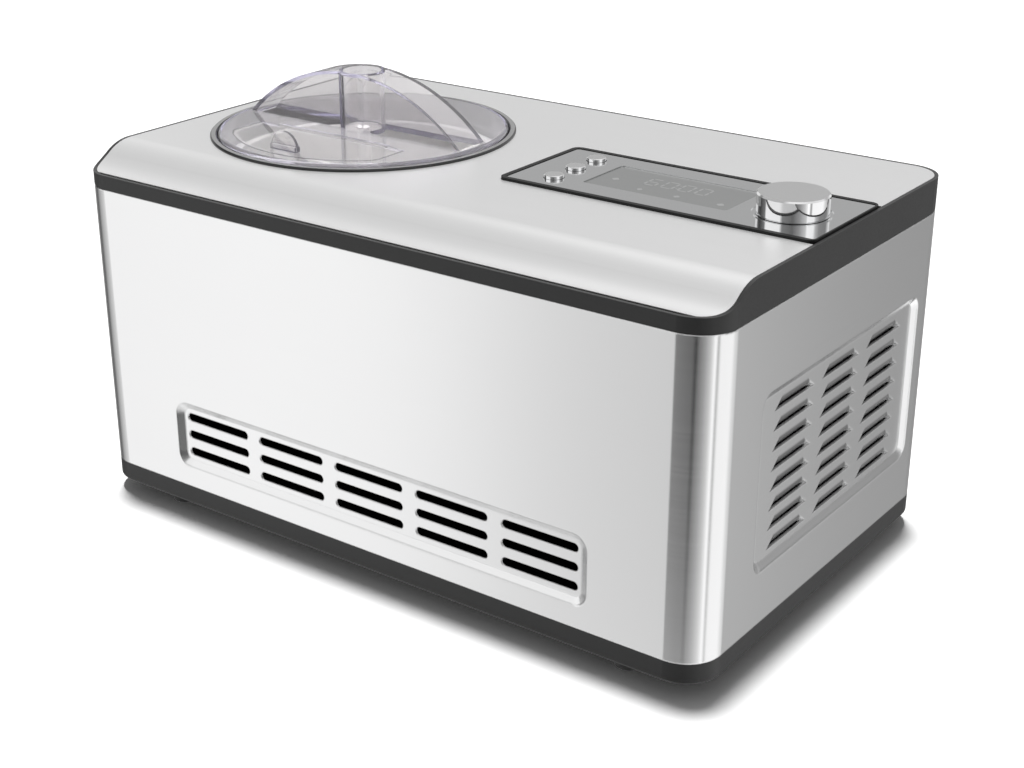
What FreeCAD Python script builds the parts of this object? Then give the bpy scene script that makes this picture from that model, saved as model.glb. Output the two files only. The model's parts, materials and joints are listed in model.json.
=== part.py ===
import FreeCAD, Part
import math
import os

V = FreeCAD.Vector

# Body outline and levels, millimetres; X runs along the front, front is -Y, feet stand on Z = 0
body_length = 425.0
body_depth = 258.0
corner_radius = 21.0
foot_height = 9.0
base_band_height = 12.0
shell_height = 174.0
front_band_height = 8.5
deck_rise = 11.5
front_land = 5.0
rise_length = 35.0

# Clearances
fit = 0.2
moving_gap = 0.3
running_fit = 0.05
overcut = 0.5

# Base tray and feet
tray_floor = 3.0
tray_wall = 4.0
tray_upstand = 6.0
tray_edge_radius = 1.6
foot_radius = 9.0
foot_taper = 1.5
foot_inset_x = 51.0
foot_inset_y = 17.0
foot_screw_radius = 2.0
foot_screw_head = 4.0
foot_recess = 4.0

# Steel shell and its vents
sheet = 0.8
shell_edge = 0.5
rear_return = 21.0
dish_slope = 4.5
dish_radius = 9.0
vent_recess = 2.5
vent_above_tray = 12.2
vent_extra_width = 5.0
vent_extra_height = 9.0
vent_columns = 5
vent_rows = 3
vent_column_pitch = 57.3
vent_row_pitch = 11.05
slot_length = 47.4
slot_height = 4.6
slot_edge = 0.5
louvre_recess = 2.5
louvre_rear_gap = 7.0
louvre_above_tray = 30.0
louvre_extra_width = 26.0
louvre_extra_height = 11.3
louvre_columns = 3
louvre_rows = 8
louvre_column_pitch = 51.3
louvre_row_pitch = 11.05
scoop_length = 42.5
scoop_height = 6.4
scoop_depth = 2.6
scoop_sheet = 0.7
scoop_end_radius = 10.0
scoop_slit = 0.9

# Rear panel
rear_overlap = 10.0
rear_sheet = 1.0
rear_slot_length = 36.0
rear_slot_height = 3.5
rear_slot_pitch = 9.0
rear_slot_rows = 6
rear_slot_columns = 3
rear_slot_column_pitch = 46.0
rear_slots_from_right = 122.5
gland_radius = 8.0
gland_flange = 3.0
gland_length = 9.0
gland_bore = 3.6
gland_from_left = 92.5
gland_height = 32.0
screw_radius = 1.8
screw_head_radius = 3.4
screw_head = 2.0
screw_length = 8.0
rear_screw_rows = 3

# Top frame and plate
rim_lip = 2.0
frame_wall = 5.0
frame_deck = 2.5
frame_lip = 2.0
frame_lip_depth = 5.0
frame_groove_height = 0.8
frame_groove_depth = 0.5
plate_thickness = 1.5
plate_front_gap = 2.0
plate_front_lip = 0.5
plate_undercut = 1.6

# Bowl opening, collar and cold drum
foam_clear = 0.7
foam_wall = 11.5
foam_gap = 2.7
drum_y = 4.0
collar_room = 9.5
collar_flange = 4.0
collar_neck_wall = 2.5
collar_height = 1.5
collar_depth = 18.0
collar_ledge = 3.0
collar_step = 2.7
seal_thickness = 1.5
seal_width = 6.0
drum_wall = 1.5
drum_flange = 2.0
drum_floor_gap = 2.0
bowl_outer = 78.0
bowl_wall = 1.2
bowl_to_drum = 0.8
bowl_rim_width = 4.0
bowl_rim = 1.2
bowl_tube_height = 32.0
tube_gap = 0.8
coil_turns = 5
coil_wire = 4.0
coil_gap = 0.5
coil_tail = 20.0
coil_inset = 12.0

# Paddle
hub_wall = 2.7
hub_cap = 16.6
hub_lift = 1.0
paddle_thickness = 3.0
paddle_frame = 14.0
paddle_clear = 1.3
paddle_top_clear = 11.0
paddle_corner = 10.0
guide_pin_radius = 4.0

# Lid with arch handle and filler flap
lid_clear = 0.5
lid_rise = 3.0
lid_plate = 3.0
lid_wall = 2.5
lid_edge_radius = 2.5
handle_top = 37.0
handle_width = 24.0
handle_wall = 2.0
handle_end_inset = 3.0
column_radius = 13.5
column_cap = 2.5
column_web = 2.5
flap_thickness = 1.5
flap_ledge = 2.5
flap_edge_gap = 9.0
flap_width_share = 0.64
flap_hinge_y = -28.0
flap_corner = 9.0
hinge_barrel = 1.6
hinge_pin_radius = 0.8
hinge_share_length = 84.0
hinge_ear = 6.0
hinge_drop = 1.4
tab_width = 19.0
tab_height = 11.0
tab_thickness = 2.0
tab_foot_depth = 4.5
tab_foot_height = 3.0
tab_reach = 69.0

# Control panel
panel_from_collar = 35.5
panel_right_gap = 0.3
panel_y = 6.0
panel_depth = 77.0
panel_corner = 5.0
panel_inner_corner = 0.8
bezel_border = 3.0
bezel_right_border = 1.0
bezel_shelf = 4.0
bezel_shelf_thickness = 1.5
bezel_proud = 1.5
fascia_thickness = 1.2
board_inset = 5.5
board_thickness = 1.6
board_drop = 9.5
post_radius = 3.0
post_inset = 9.5
display_centre_share = 0.456
display_length_share = 0.4635
display_depth = 40.0
display_y = 7.0
display_corner = 2.0
lens_thickness = 1.5
lens_below = 0.6
module_margin = 3.0
button_share = 0.1328
button_pitch = 21.0
button_radius = 5.5
button_height = 2.0
button_flange = 1.2
button_flange_height = 1.5
button_edge = 0.5
button_gap = 0.35
button_travel = 0.6
button_stem_radius = 2.5
switch_size = 6.0
switch_height = 3.5
plunger_radius = 1.75
plunger_height = 1.0
knob_share = 0.84375
knob_y = 3.0
knob_radius = 19.0
knob_height = 11.5
knob_wall = 2.0
knob_top = 2.5
knob_hub_radius = 6.0
knob_edge = 0.8
groove_width = 1.2
groove_gap = 1.2
groove_depth = 0.4
encoder_size = 12.0
encoder_height = 6.5
encoder_bush_radius = 4.5
encoder_shaft_radius = 3.0

# Drive train under the drum
motor_floor_gap = 2.0
motor_radius = 28.0
motor_length = 38.0
motor_shaft_radius = 2.5
motor_chamfer = 4.0
case_floor = 3.0
case_wall = 2.5
case_margin = 5.0
case_corner = 8.0
case_post_radius = 6.0
case_post_inset = 9.0
gear_gap = 1.5
tooth_addendum = 0.8
tooth_dedendum = 1.25
tooth_root_share = 0.30
tooth_tip_share = 0.10
first_module = 1.0
first_pinion_teeth = 10
first_wheel_teeth = 60
first_width = 7.0
second_module = 1.25
second_pinion_teeth = 10
second_wheel_teeth = 50
second_width = 10.0
shaft_radius = 6.0
shaft_square = 8.4
shaft_square_length = 18.0
socket_roof = 5.5
gear_pin_radius = 2.5
bush_wall = 3.0
shaft_seal_wall = 1.9
shaft_seal_height = 3.0

# Cooling circuit
compressor_radius = 48.0
compressor_dome = 26.0
compressor_chamfer = 8.0
compressor_weld = 2.5
weld_half = 2.0
compressor_y = 50.0
compressor_foot = 3.0
compressor_foot_reach = 12.0
grommet_radius = 7.0
grommet_height = 8.0
bolt_radius = 3.0
bolt_head = 5.5
stub_radius = 4.0
stub_height = 5.0
discharge_offset = 24.0
relay_width = 44.0
relay_depth = 16.0
relay_height = 40.0
relay_corner = 5.0
condenser_thickness = 22.0
condenser_wall_gap = 6.0
condenser_width = 150.0
condenser_share = 0.62
condenser_raise = 28.0
condenser_fins = 18
condenser_fin = 1.5
condenser_groove = 5.0
condenser_plate = 2.0
fan_y = 11.0
fan_radius = 48.0
fan_tip_gap = 2.0
fan_hub_radius = 18.0
fan_blades = 7
fan_blade_thickness = 1.6
fan_root_twist = 32.0
fan_tip_twist = 48.0
fan_blade_margin = 3.0
fan_blade_root = 2.0
fan_depth = 18.0
shroud_depth = 26.0
shroud_wall = 2.0
shroud_margin = 4.0
fan_motor_radius = 16.0
fan_motor_length = 22.0
fan_arm_width = 7.0
fan_shaft_radius = 2.0
line_bend = 12.0
capillary_radius = 1.5
capillary_front_gap = 12.0
drier_radius = 8.0
drier_neck = 3.0

# Levels worked out from the sizes above
base_top = foot_height + base_band_height
floor_top = foot_height + tray_floor
shell_top = base_top + shell_height
front_edge_top = shell_top + front_band_height
deck_top = front_edge_top + deck_rise
half_length = body_length / 2
half_depth = body_depth / 2
lid_top = deck_top + lid_rise
lid_under = lid_top - lid_plate
ledge_top = deck_top - collar_depth
ledge_bottom = ledge_top - collar_ledge
drum_top = ledge_bottom - seal_thickness
collar_ledge_inner = bowl_outer + collar_step
collar_inner = bowl_outer + collar_room
collar_outer = collar_inner + collar_flange
neck_outer = collar_inner + collar_neck_wall
drum_inner = bowl_outer + bowl_to_drum
drum_outer = drum_inner + drum_wall
coil_radius = drum_outer + coil_gap + coil_wire
foam_inner = coil_radius + coil_wire + foam_clear
foam_outer = foam_inner + foam_wall
drum_x = -half_length + sheet + foam_gap + foam_outer
case_bottom = floor_top + motor_floor_gap + motor_length
first_bottom = case_bottom + case_floor + gear_gap
first_top = first_bottom + first_width
second_bottom = first_top + gear_gap
second_top = second_bottom + second_width
cover_bottom = second_top + gear_gap
cover_top = cover_bottom + case_floor
drum_bottom = cover_top + drum_floor_gap
drum_floor = drum_bottom + drum_wall
coil_start = drum_bottom + coil_inset
coil_end = drum_top - drum_flange - coil_inset
coil_pitch = (coil_end - coil_start) / coil_turns
bowl_bottom = drum_floor + moving_gap
bowl_floor = bowl_bottom + bowl_wall
bowl_inner = bowl_outer - bowl_wall
tube_inner = shaft_radius + shaft_seal_wall + tube_gap
tube_outer = tube_inner + bowl_wall
tube_top = bowl_bottom + bowl_tube_height
rim_bottom = ledge_top + moving_gap
rim_top = rim_bottom + bowl_rim
hub_inner = tube_outer + 2 * moving_gap
hub_outer = hub_inner + hub_wall
hub_top = tube_top + hub_lift + hub_cap
shaft_top = hub_top - socket_roof
first_distance = first_module * (first_pinion_teeth + first_wheel_teeth) / 2
second_distance = second_module * (second_pinion_teeth + second_wheel_teeth) / 2
gear_pin_x = drum_x + second_distance
gear_pin_y = drum_y
motor_x = gear_pin_x
motor_y = gear_pin_y + first_distance
bush_outer = shaft_radius + bush_wall
panel_left = drum_x + collar_outer + panel_from_collar
panel_right = half_length - rim_lip - panel_right_gap
panel_length = panel_right - panel_left
panel_front = panel_y - panel_depth / 2
panel_back = panel_y + panel_depth / 2
panel_seat = deck_top - plate_thickness
shelf_top = panel_seat + bezel_shelf_thickness
fascia_top = shelf_top + fascia_thickness
frame_under = panel_seat - frame_deck
board_top = frame_under - board_drop
board_bottom = board_top - board_thickness
knob_x = panel_left + panel_length * knob_share
button_x = panel_left + panel_length * button_share
display_x = panel_left + panel_length * display_centre_share
display_length = panel_length * display_length_share
switch_top = board_top + switch_height
plunger_top = switch_top + plunger_height
button_bottom = plunger_top + button_travel + moving_gap
condenser_right = half_length - sheet - louvre_recess - condenser_wall_gap
condenser_left = condenser_right - condenser_thickness
condenser_bottom = floor_top + condenser_raise
condenser_height = shell_height * condenser_share
condenser_top = condenser_bottom + condenser_height
shroud_left = condenser_left - shroud_depth
fan_motor_left = shroud_left - fan_motor_length
fan_z = condenser_bottom + condenser_height / 2
compressor_x = (drum_x + foam_outer + fan_motor_left) / 2
compressor_bottom = floor_top + grommet_height
stub_top = coil_end - 2 * line_bend
compressor_top = stub_top - stub_height
lid_radius = collar_inner - lid_clear
arch_half = lid_radius - handle_end_inset
flap_reach_radius = lid_radius - flap_edge_gap
flap_half_width = lid_radius * flap_width_share
handle_apex = deck_top + handle_top


# Drawing helpers

def box(x0, x1, y0, y1, z0, z1):
    return Part.makeBox(x1 - x0, y1 - y0, z1 - z0, V(x0, y0, z0))


def post(radius, z0, z1, x, y):
    return Part.makeCylinder(radius, z1 - z0, V(x, y, z0))


def rod_x(radius, x0, x1, y, z):
    return Part.makeCylinder(radius, x1 - x0, V(x0, y, z), V(1, 0, 0))


def rod_y(radius, y0, y1, x, z):
    return Part.makeCylinder(radius, y1 - y0, V(x, y0, z), V(0, 1, 0))


def ring(outer, inner, z0, z1, x, y):
    return post(outer, z0, z1, x, y).cut(post(inner, z0, z1, x, y))


def level(z):
    return lambda a, b: V(a, b, z)


def upright(y):
    return lambda a, b: V(a, y, b)


def sideways(x):
    return lambda a, b: V(x, a, b)


def outline(start, *steps):
    edges = []
    here = start
    for step in steps:
        if isinstance(step, tuple):
            edges.append(Part.Arc(here, step[0], step[1]).toShape())
            here = step[1]
        elif here.distanceToPoint(step) > 1e-6:
            edges.append(Part.LineSegment(here, step).toShape())
            here = step
    if here.distanceToPoint(start) > 1e-6:
        edges.append(Part.LineSegment(here, start).toShape())
    return Part.Wire(edges)


def rounded(a0, a1, b0, b1, radius, place):
    k = radius * (1 - math.sqrt(0.5))
    return outline(
        place(a0 + radius, b0), place(a1 - radius, b0),
        (place(a1 - k, b0 + k), place(a1, b0 + radius)), place(a1, b1 - radius),
        (place(a1 - k, b1 - k), place(a1 - radius, b1)), place(a0 + radius, b1),
        (place(a0 + k, b1 - k), place(a0, b1 - radius)), place(a0, b0 + radius),
        (place(a0 + k, b0 + k), place(a0 + radius, b0)))


def extruded(wire, along):
    return Part.Face(wire).extrude(along)


def slab(x0, x1, y0, y1, radius, z0, z1):
    return extruded(rounded(x0, x1, y0, y1, radius, level(z0)), V(0, 0, z1 - z0))


def body_slab(inset, z0, z1):
    return slab(-half_length + inset, half_length - inset, -half_depth + inset, half_depth - inset,
                corner_radius - inset, z0, z1)


def turned(x, y, start, *steps):
    def at(p):
        if isinstance(p[0], tuple):
            return (at(p[0]), at(p[1]))
        return V(x + p[0], y, p[1])
    wire = outline(at(start), *[at(step) for step in steps])
    return Part.Face(wire).revolve(V(x, y, 0), V(0, 0, 1), 360)


def moved(shape, x, y, z):
    copy = shape.copy()
    copy.translate(V(x, y, z))
    return copy


def joined(shapes):
    return shapes[0].fuse(shapes[1:]).removeSplitter()


def tapered(place_at, centre_a, centre_b, width, height, radius, slope, near, far):
    wires = []
    for depth in (near, far):
        grow = -slope * depth
        wires.append(rounded(centre_a - width / 2 - grow, centre_a + width / 2 + grow,
                             centre_b - height / 2 - grow, centre_b + height / 2 + grow,
                             radius + grow, place_at(depth)))
    return Part.makeLoft(wires, True, True)


def bent_path(points, bend):
    edges = []
    here = points[0]
    for before, corner, after in zip(points, points[1:], points[2:]):
        back = (before - corner).normalize()
        ahead = (after - corner).normalize()
        half = math.acos(max(-1.0, min(1.0, back.dot(ahead)))) / 2
        reach = bend / math.tan(half)
        first = corner + back * reach
        last = corner + ahead * reach
        middle = (back + ahead).normalize()
        mid = corner + middle * (bend / math.sin(half) - bend)
        edges.append(Part.LineSegment(here, first).toShape())
        edges.append(Part.Arc(first, mid, last).toShape())
        here = last
    edges.append(Part.LineSegment(here, points[-1]).toShape())
    return Part.Wire(edges)


def piped(path, radius, start, direction):
    circle = Part.Wire([Part.Circle(start, direction, radius).toShape()])
    return path.makePipeShell([circle], True, False)


def bent_tube(points, bend, radius):
    return piped(bent_path(points, bend), radius, points[0], points[1] - points[0])


def under_deck(drop, z0):
    front = -half_depth - overcut
    back = half_depth + overcut
    low = front_edge_top - drop
    high = deck_top - drop
    y0 = -half_depth + front_land
    y1 = y0 + rise_length
    half_run = rise_length / 2
    half_rise = deck_rise / 2
    radius = (half_run ** 2 + half_rise ** 2) / (2 * half_rise)
    turn = math.asin(half_run / radius) / 2
    run = radius * math.sin(turn)
    rise = radius * (1 - math.cos(turn))
    at = sideways(-half_length - overcut)
    wire = outline(
        at(front, z0), at(front, low), at(y0, low),
        (at(y0 + run, low + rise), at(y0 + half_run, low + half_rise)),
        (at(y1 - run, high - rise), at(y1, high)),
        at(back, high), at(back, z0))
    return extruded(wire, V(body_length + 2 * overcut, 0, 0))


def grid(columns, rows, column_pitch, row_pitch):
    for column in range(columns):
        for row in range(rows):
            yield ((column - (columns - 1) / 2) * column_pitch, (row - (rows - 1) / 2) * row_pitch)


# Base tray, feet and their screws

def foot_places():
    for x in (-half_length + foot_inset_x, half_length - foot_inset_x):
        for y in (-half_depth + foot_inset_y, half_depth - foot_inset_y):
            yield x, y


def case_edges():
    reach = second_module * (second_wheel_teeth / 2 + 1) + case_margin
    left = drum_x - reach
    right = gear_pin_x + first_module * (first_wheel_teeth / 2 + 1) + case_margin
    front = drum_y - reach
    back = motor_y + motor_radius + 2 * case_margin
    return left, right, front, back


def case_posts():
    left, right, front, back = case_edges()
    for x in (left + case_post_inset, right - case_post_inset):
        for y in (front + case_post_inset, back - case_post_inset):
            yield x, y


def compressor_posts():
    reach = compressor_radius + compressor_foot_reach / 2
    for angle in (45, 135, 225, 315):
        turn = math.radians(angle)
        yield compressor_x + reach * math.cos(turn), compressor_y + reach * math.sin(turn)


def base_tray():
    outer = body_slab(0, foot_height, base_top)
    lower = [edge for edge in outer.Edges if edge.BoundBox.ZMax < foot_height + overcut]
    outer = outer.makeFillet(tray_edge_radius, lower)
    upstand = body_slab(sheet + moving_gap, base_top, base_top + tray_upstand)
    pocket = body_slab(tray_wall, floor_top, base_top + tray_upstand)
    tray = outer.fuse(upstand).cut(pocket)
    posts = [post(case_post_radius, floor_top, case_bottom, x, y) for x, y in case_posts()]
    tray = tray.fuse(posts)
    holes = [post(foot_screw_radius + fit, foot_height, floor_top, x, y) for x, y in foot_places()]
    return tray.cut(holes).removeSplitter()


def foot(x, y):
    body = turned(x, y, (0, 0), (foot_radius - foot_taper, 0), (foot_radius, foot_height), (0, foot_height))
    recess = post(foot_screw_head + fit, 0, foot_recess, x, y)
    bore = post(foot_screw_radius + fit, 0, foot_height, x, y)
    return body.cut([recess, bore])


def foot_screws():
    screws = []
    for x, y in foot_places():
        head = post(foot_screw_head, foot_recess - screw_head, foot_recess, x, y)
        screws.append(head.fuse(post(foot_screw_radius, foot_recess, floor_top, x, y)).removeSplitter())
    return Part.makeCompound(screws)


# Steel shell with the recessed front vent and the pressed louvres

def scoop(wall, outside):
    bend = (scoop_depth ** 2 + scoop_height ** 2) / (2 * scoop_depth)
    radius = bend - wall
    depth = bend - math.sqrt(radius ** 2 - scoop_height ** 2)
    turn = math.asin(scoop_height / radius) / 2
    middle = (radius * math.cos(turn) - bend, scoop_height - radius * math.sin(turn))
    end_turn = math.degrees(math.acos(scoop_end_radius / (scoop_end_radius + depth)))
    half = scoop_length / 2 - math.sqrt(scoop_depth * (scoop_depth + 2 * scoop_end_radius))

    def section(y):
        at = upright(y)
        return Part.Face(outline(
            at(outside, scoop_height), at(-wall, scoop_height), (at(*middle), at(-depth, 0)), at(outside, 0)))
    straight = section(-half).extrude(V(0, 2 * half, 0))
    front_end = section(-half).revolve(V(scoop_end_radius, -half, 0), V(0, 0, 1), end_turn)
    rear_end = section(half).revolve(V(scoop_end_radius, half, 0), V(0, 0, 1), -end_turn)
    inside = box(-2 * depth, outside, -scoop_length, scoop_length, 0, scoop_height)
    return joined([straight, front_end, rear_end]).common(inside)


def steel_shell():
    outer = body_slab(0, base_top, shell_top)
    upper = [edge for edge in outer.Edges if edge.BoundBox.ZMin > shell_top - overcut]
    wall = outer.makeFillet(shell_edge, upper).cut(body_slab(sheet, base_top, shell_top))
    opening = half_length - corner_radius - rear_return
    wall = wall.cut(box(-opening, opening, half_depth - corner_radius / 2, half_depth, base_top, shell_top))
    vent_width = vent_columns * vent_column_pitch + vent_extra_width
    vent_height = vent_rows * vent_row_pitch + vent_extra_height
    vent_z = base_top + vent_above_tray + vent_height / 2
    louvre_width = louvre_columns * louvre_column_pitch + louvre_extra_width
    louvre_height = louvre_rows * louvre_row_pitch + louvre_extra_height
    louvre_y = half_depth - corner_radius - louvre_rear_gap - louvre_width / 2
    louvre_z = base_top + louvre_above_tray + louvre_height / 2

    def front_plane(depth):
        return upright(-half_depth + depth)

    def right_plane(depth):
        return sideways(half_length - depth)
    dishes = []
    pockets = []
    for plane, a, b, width, height, recess in (
            (front_plane, 0, vent_z, vent_width, vent_height, vent_recess),
            (right_plane, louvre_y, louvre_z, louvre_width, louvre_height, louvre_recess)):
        slope = dish_slope / recess
        dishes.append(tapered(plane, a, b, width + 2 * sheet, height + 2 * sheet, dish_radius + sheet,
                              slope, sheet / 2, recess + sheet))
        pockets.append(tapered(plane, a, b, width, height, dish_radius, slope, -overcut, recess))
    wall = wall.fuse(dishes).cut(pockets)
    cuts = []
    flare = vent_recess + slot_edge
    for a, b in grid(vent_columns, vent_rows, vent_column_pitch, vent_row_pitch):
        slot = rounded(a - slot_length / 2, a + slot_length / 2,
                       vent_z + b - slot_height / 2, vent_z + b + slot_height / 2,
                       slot_height / 2, upright(-half_depth))
        cuts.append(extruded(slot, V(0, 2 * (vent_recess + sheet), 0)))
        cuts.append(tapered(front_plane, a, vent_z + b, slot_length + 2 * flare, slot_height + 2 * flare,
                            slot_height / 2 + flare, 1, vent_recess - slot_edge, flare))
    ledge = box(scoop_slit - scoop_depth, -sheet / 2, -scoop_length / 2, scoop_length / 2, -scoop_sheet, 0)
    backing = scoop(scoop_sheet, -sheet / 2).fuse(ledge)
    hollow = scoop(0, overcut)
    backings = []
    for a, b in grid(louvre_columns, louvre_rows, louvre_column_pitch, louvre_row_pitch):
        place = (half_length - louvre_recess, louvre_y + a, louvre_z + b - scoop_height / 2)
        backings.append(moved(backing, *place))
        cuts.append(moved(hollow, *place))
    cuts += [rear_screw(x, z, fit) for x, z in rear_screw_places()]
    return wall.fuse(backings).cut(cuts).removeSplitter()


# Rear panel, cord gland and screws

def rear_edges():
    half_width = half_length - corner_radius - rear_return + rear_overlap
    return half_width, base_top + tray_upstand + moving_gap, shell_top - frame_lip_depth - moving_gap


def rear_screw_places():
    half_width, low, high = rear_edges()
    for x in (-half_width + rear_overlap / 2, half_width - rear_overlap / 2):
        for row in range(rear_screw_rows):
            yield x, low + (row + 0.5) * (high - low) / rear_screw_rows


def gland_place():
    return -half_length + gland_from_left, base_top + gland_height


def rear_panel():
    half_width, low, high = rear_edges()
    face = half_depth - sheet
    wire = rounded(-half_width, half_width, low, high, rear_overlap / 2, upright(face - rear_sheet))
    panel = extruded(wire, V(0, rear_sheet, 0))
    middle = (low + high) / 2
    slots_x = half_length - rear_slots_from_right
    cuts = []
    for a, b in grid(rear_slot_columns, rear_slot_rows, rear_slot_column_pitch, rear_slot_pitch):
        slot = rounded(slots_x + a - rear_slot_length / 2, slots_x + a + rear_slot_length / 2,
                       middle + b - rear_slot_height / 2, middle + b + rear_slot_height / 2,
                       rear_slot_height / 2, upright(face - 2 * rear_sheet))
        cuts.append(extruded(slot, V(0, 3 * rear_sheet, 0)))
    x, z = gland_place()
    cuts.append(rod_y(gland_radius + fit, face - 2 * rear_sheet, face + rear_sheet, x, z))
    return panel.cut(cuts + [rear_screw(x, z, fit) for x, z in rear_screw_places()])


def rear_screw(x, z, grow):
    depth = screw_head_radius - screw_radius
    head = Part.makeCone(screw_head_radius + grow, screw_radius + grow, depth,
                         V(x, half_depth, z), V(0, -1, 0))
    stem = rod_y(screw_radius + grow, half_depth - screw_length, half_depth - depth, x, z)
    return head.fuse(stem).removeSplitter()


def rear_panel_screws():
    return Part.makeCompound([rear_screw(x, z, 0) for x, z in rear_screw_places()])


def cord_gland():
    x, z = gland_place()
    outside = half_depth - sheet
    body = rod_y(gland_radius, outside - gland_length, outside, x, z)
    inside = outside - rear_sheet
    flange = rod_y(gland_radius + gland_flange, inside - gland_flange, inside, x, z)
    bore = rod_y(gland_bore, outside - gland_length, outside, x, z)
    return body.fuse(flange).cut(bore).removeSplitter()


# Top frame and top plate

def panel_slab(inset, right_inset, z0, z1):
    radius = max(panel_corner - inset, panel_inner_corner)
    return slab(panel_left + inset, panel_right - right_inset, panel_front + inset, panel_back - inset,
                radius, z0, z1)


def board_posts():
    for x in (panel_left + post_inset, panel_right - post_inset):
        for y in (panel_front + post_inset, panel_back - post_inset):
            yield x, y


def top_frame():
    frame = body_slab(0, shell_top, deck_top).common(under_deck(0, shell_top))
    pocket = body_slab(rim_lip, shell_top, deck_top + overcut)
    pocket = pocket.cut(under_deck(plate_thickness, shell_top - overcut))
    hollow = body_slab(frame_wall, shell_top - overcut, deck_top)
    hollow = hollow.common(under_deck(plate_thickness + frame_deck, shell_top - overcut))
    lip = body_slab(sheet + moving_gap, shell_top - frame_lip_depth, shell_top)
    lip = lip.cut(body_slab(sheet + moving_gap + frame_lip, shell_top - frame_lip_depth, shell_top))
    well = post(neck_outer + fit, shell_top - overcut, deck_top, drum_x, drum_y)
    window_inset = bezel_border + bezel_shelf
    window = panel_slab(window_inset, window_inset, frame_under - overcut, deck_top)
    groove = body_slab(0, shell_top, shell_top + frame_groove_height)
    groove = groove.cut(body_slab(frame_groove_depth, shell_top, shell_top + frame_groove_height))
    frame = frame.cut([pocket, hollow, well, window, groove])
    posts = [post(post_radius, board_top, panel_seat, x, y) for x, y in board_posts()]
    return frame.fuse([lip] + posts).removeSplitter()


def top_plate():
    plate = body_slab(rim_lip + fit, shell_top, deck_top).common(under_deck(0, shell_top))
    plate = plate.cut(under_deck(plate_thickness, shell_top - overcut))
    well = post(neck_outer + fit, shell_top, deck_top, drum_x, drum_y)
    notch = slab(panel_left - fit, half_length + panel_corner, panel_front - fit, panel_back + fit,
                 panel_corner, frame_under, deck_top + overcut)
    front = -half_depth + rim_lip + plate_front_gap
    gap = box(-half_length, half_length, -half_depth, front, shell_top, deck_top)
    undercut = box(-half_length, half_length, -half_depth, front + plate_undercut,
                   shell_top, front_edge_top - plate_front_lip)
    return plate.cut([well, notch, gap, undercut])


# Collar, seal, cold drum, coil and foam

def bowl_collar():
    edge = collar_height / 2
    return turned(
        drum_x, drum_y,
        (neck_outer, deck_top), (collar_outer, deck_top), (collar_outer, deck_top + edge),
        (collar_outer - edge, deck_top + collar_height), (collar_inner + edge, deck_top + collar_height),
        (collar_inner, deck_top + edge), (collar_inner, ledge_top), (collar_ledge_inner, ledge_top),
        (collar_ledge_inner, ledge_bottom), (neck_outer, ledge_bottom))


def collar_seal():
    inner = collar_ledge_inner + overcut
    return ring(inner + seal_width, inner, drum_top, ledge_bottom, drum_x, drum_y)


def cooling_drum():
    flange = drum_top - drum_flange
    cup = turned(
        drum_x, drum_y,
        (0, drum_bottom), (drum_outer, drum_bottom), (drum_outer, flange), (neck_outer, flange),
        (neck_outer, drum_top), (drum_inner, drum_top), (drum_inner, drum_floor), (0, drum_floor))
    return cup.cut(post(bush_outer + fit, drum_bottom, drum_floor, drum_x, drum_y))


def coil_point(angle):
    turn = math.radians(angle)
    return V(drum_x + coil_radius * math.cos(turn), drum_y + coil_radius * math.sin(turn),
             coil_start + coil_pitch * angle / 360)


def coil_ends():
    low = coil_point(0)
    high = coil_point(360 * coil_turns)
    return low + V(0, -coil_tail, 0), high + V(0, coil_tail, 0)


def evaporator_coil():
    start, end = coil_ends()
    edges = [Part.LineSegment(start, coil_point(0)).toShape()]
    for quarter in range(4 * coil_turns):
        angle = 90 * quarter
        edges.append(Part.Arc(coil_point(angle), coil_point(angle + 45), coil_point(angle + 90)).toShape())
    edges.append(Part.LineSegment(coil_point(360 * coil_turns), end).toShape())
    print("coil: least gap between turns", round(coil_pitch - 2 * coil_wire, 2))
    return piped(Part.Wire(edges), coil_wire, start, V(0, 1, 0))


def foam_jacket():
    top = drum_top - drum_flange
    jacket = turned(
        drum_x, drum_y,
        (bush_outer + fit, cover_top), (foam_outer, cover_top), (foam_outer, top), (foam_inner, top),
        (foam_inner, drum_bottom), (bush_outer + fit, drum_bottom))
    reach = math.sqrt(foam_outer ** 2 - drum_outer ** 2) + overcut
    channel = box(drum_x + drum_outer, drum_x + foam_outer, drum_y - reach, drum_y + reach, cover_top, top)
    return jacket.cut(channel)


# Mixing bowl and paddle

def mixing_bowl():
    return turned(
        drum_x, drum_y,
        (tube_inner, bowl_bottom), (bowl_outer, bowl_bottom), (bowl_outer, rim_bottom),
        (bowl_outer + bowl_rim_width, rim_bottom), (bowl_outer + bowl_rim_width, rim_top),
        (bowl_inner, rim_top), (bowl_inner, bowl_floor), (tube_outer, bowl_floor),
        (tube_outer, tube_top), (tube_inner, tube_top))


def paddle():
    low = bowl_floor + 2 * moving_gap
    high = rim_top - paddle_top_clear
    reach = bowl_inner - paddle_clear
    thick = paddle_thickness / 2
    place = upright(drum_y - thick)
    blade = extruded(rounded(drum_x - reach, drum_x + reach, low, high, paddle_corner, place),
                     V(0, paddle_thickness, 0))
    hub = post(hub_outer, low, hub_top, drum_x, drum_y)
    pin = post(guide_pin_radius, high - overcut, lid_under + column_web, drum_x, drum_y)
    windows = []
    for near, far in ((-reach + paddle_frame, -hub_outer - paddle_frame / 2),
                      (hub_outer + paddle_frame / 2, reach - paddle_frame)):
        window = rounded(drum_x + near, drum_x + far, low + paddle_frame, high - paddle_frame,
                         paddle_corner / 2, place)
        windows.append(extruded(window, V(0, paddle_thickness, 0)))
    body = blade.cut(windows).fuse([hub, pin])
    socket = shaft_square / 2 + fit
    bore = post(hub_inner, low, tube_top + hub_lift, drum_x, drum_y)
    square = box(drum_x - socket, drum_x + socket, drum_y - socket, drum_y + socket,
                 tube_top, shaft_top + overcut)
    return body.cut([bore, square]).removeSplitter()


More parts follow.
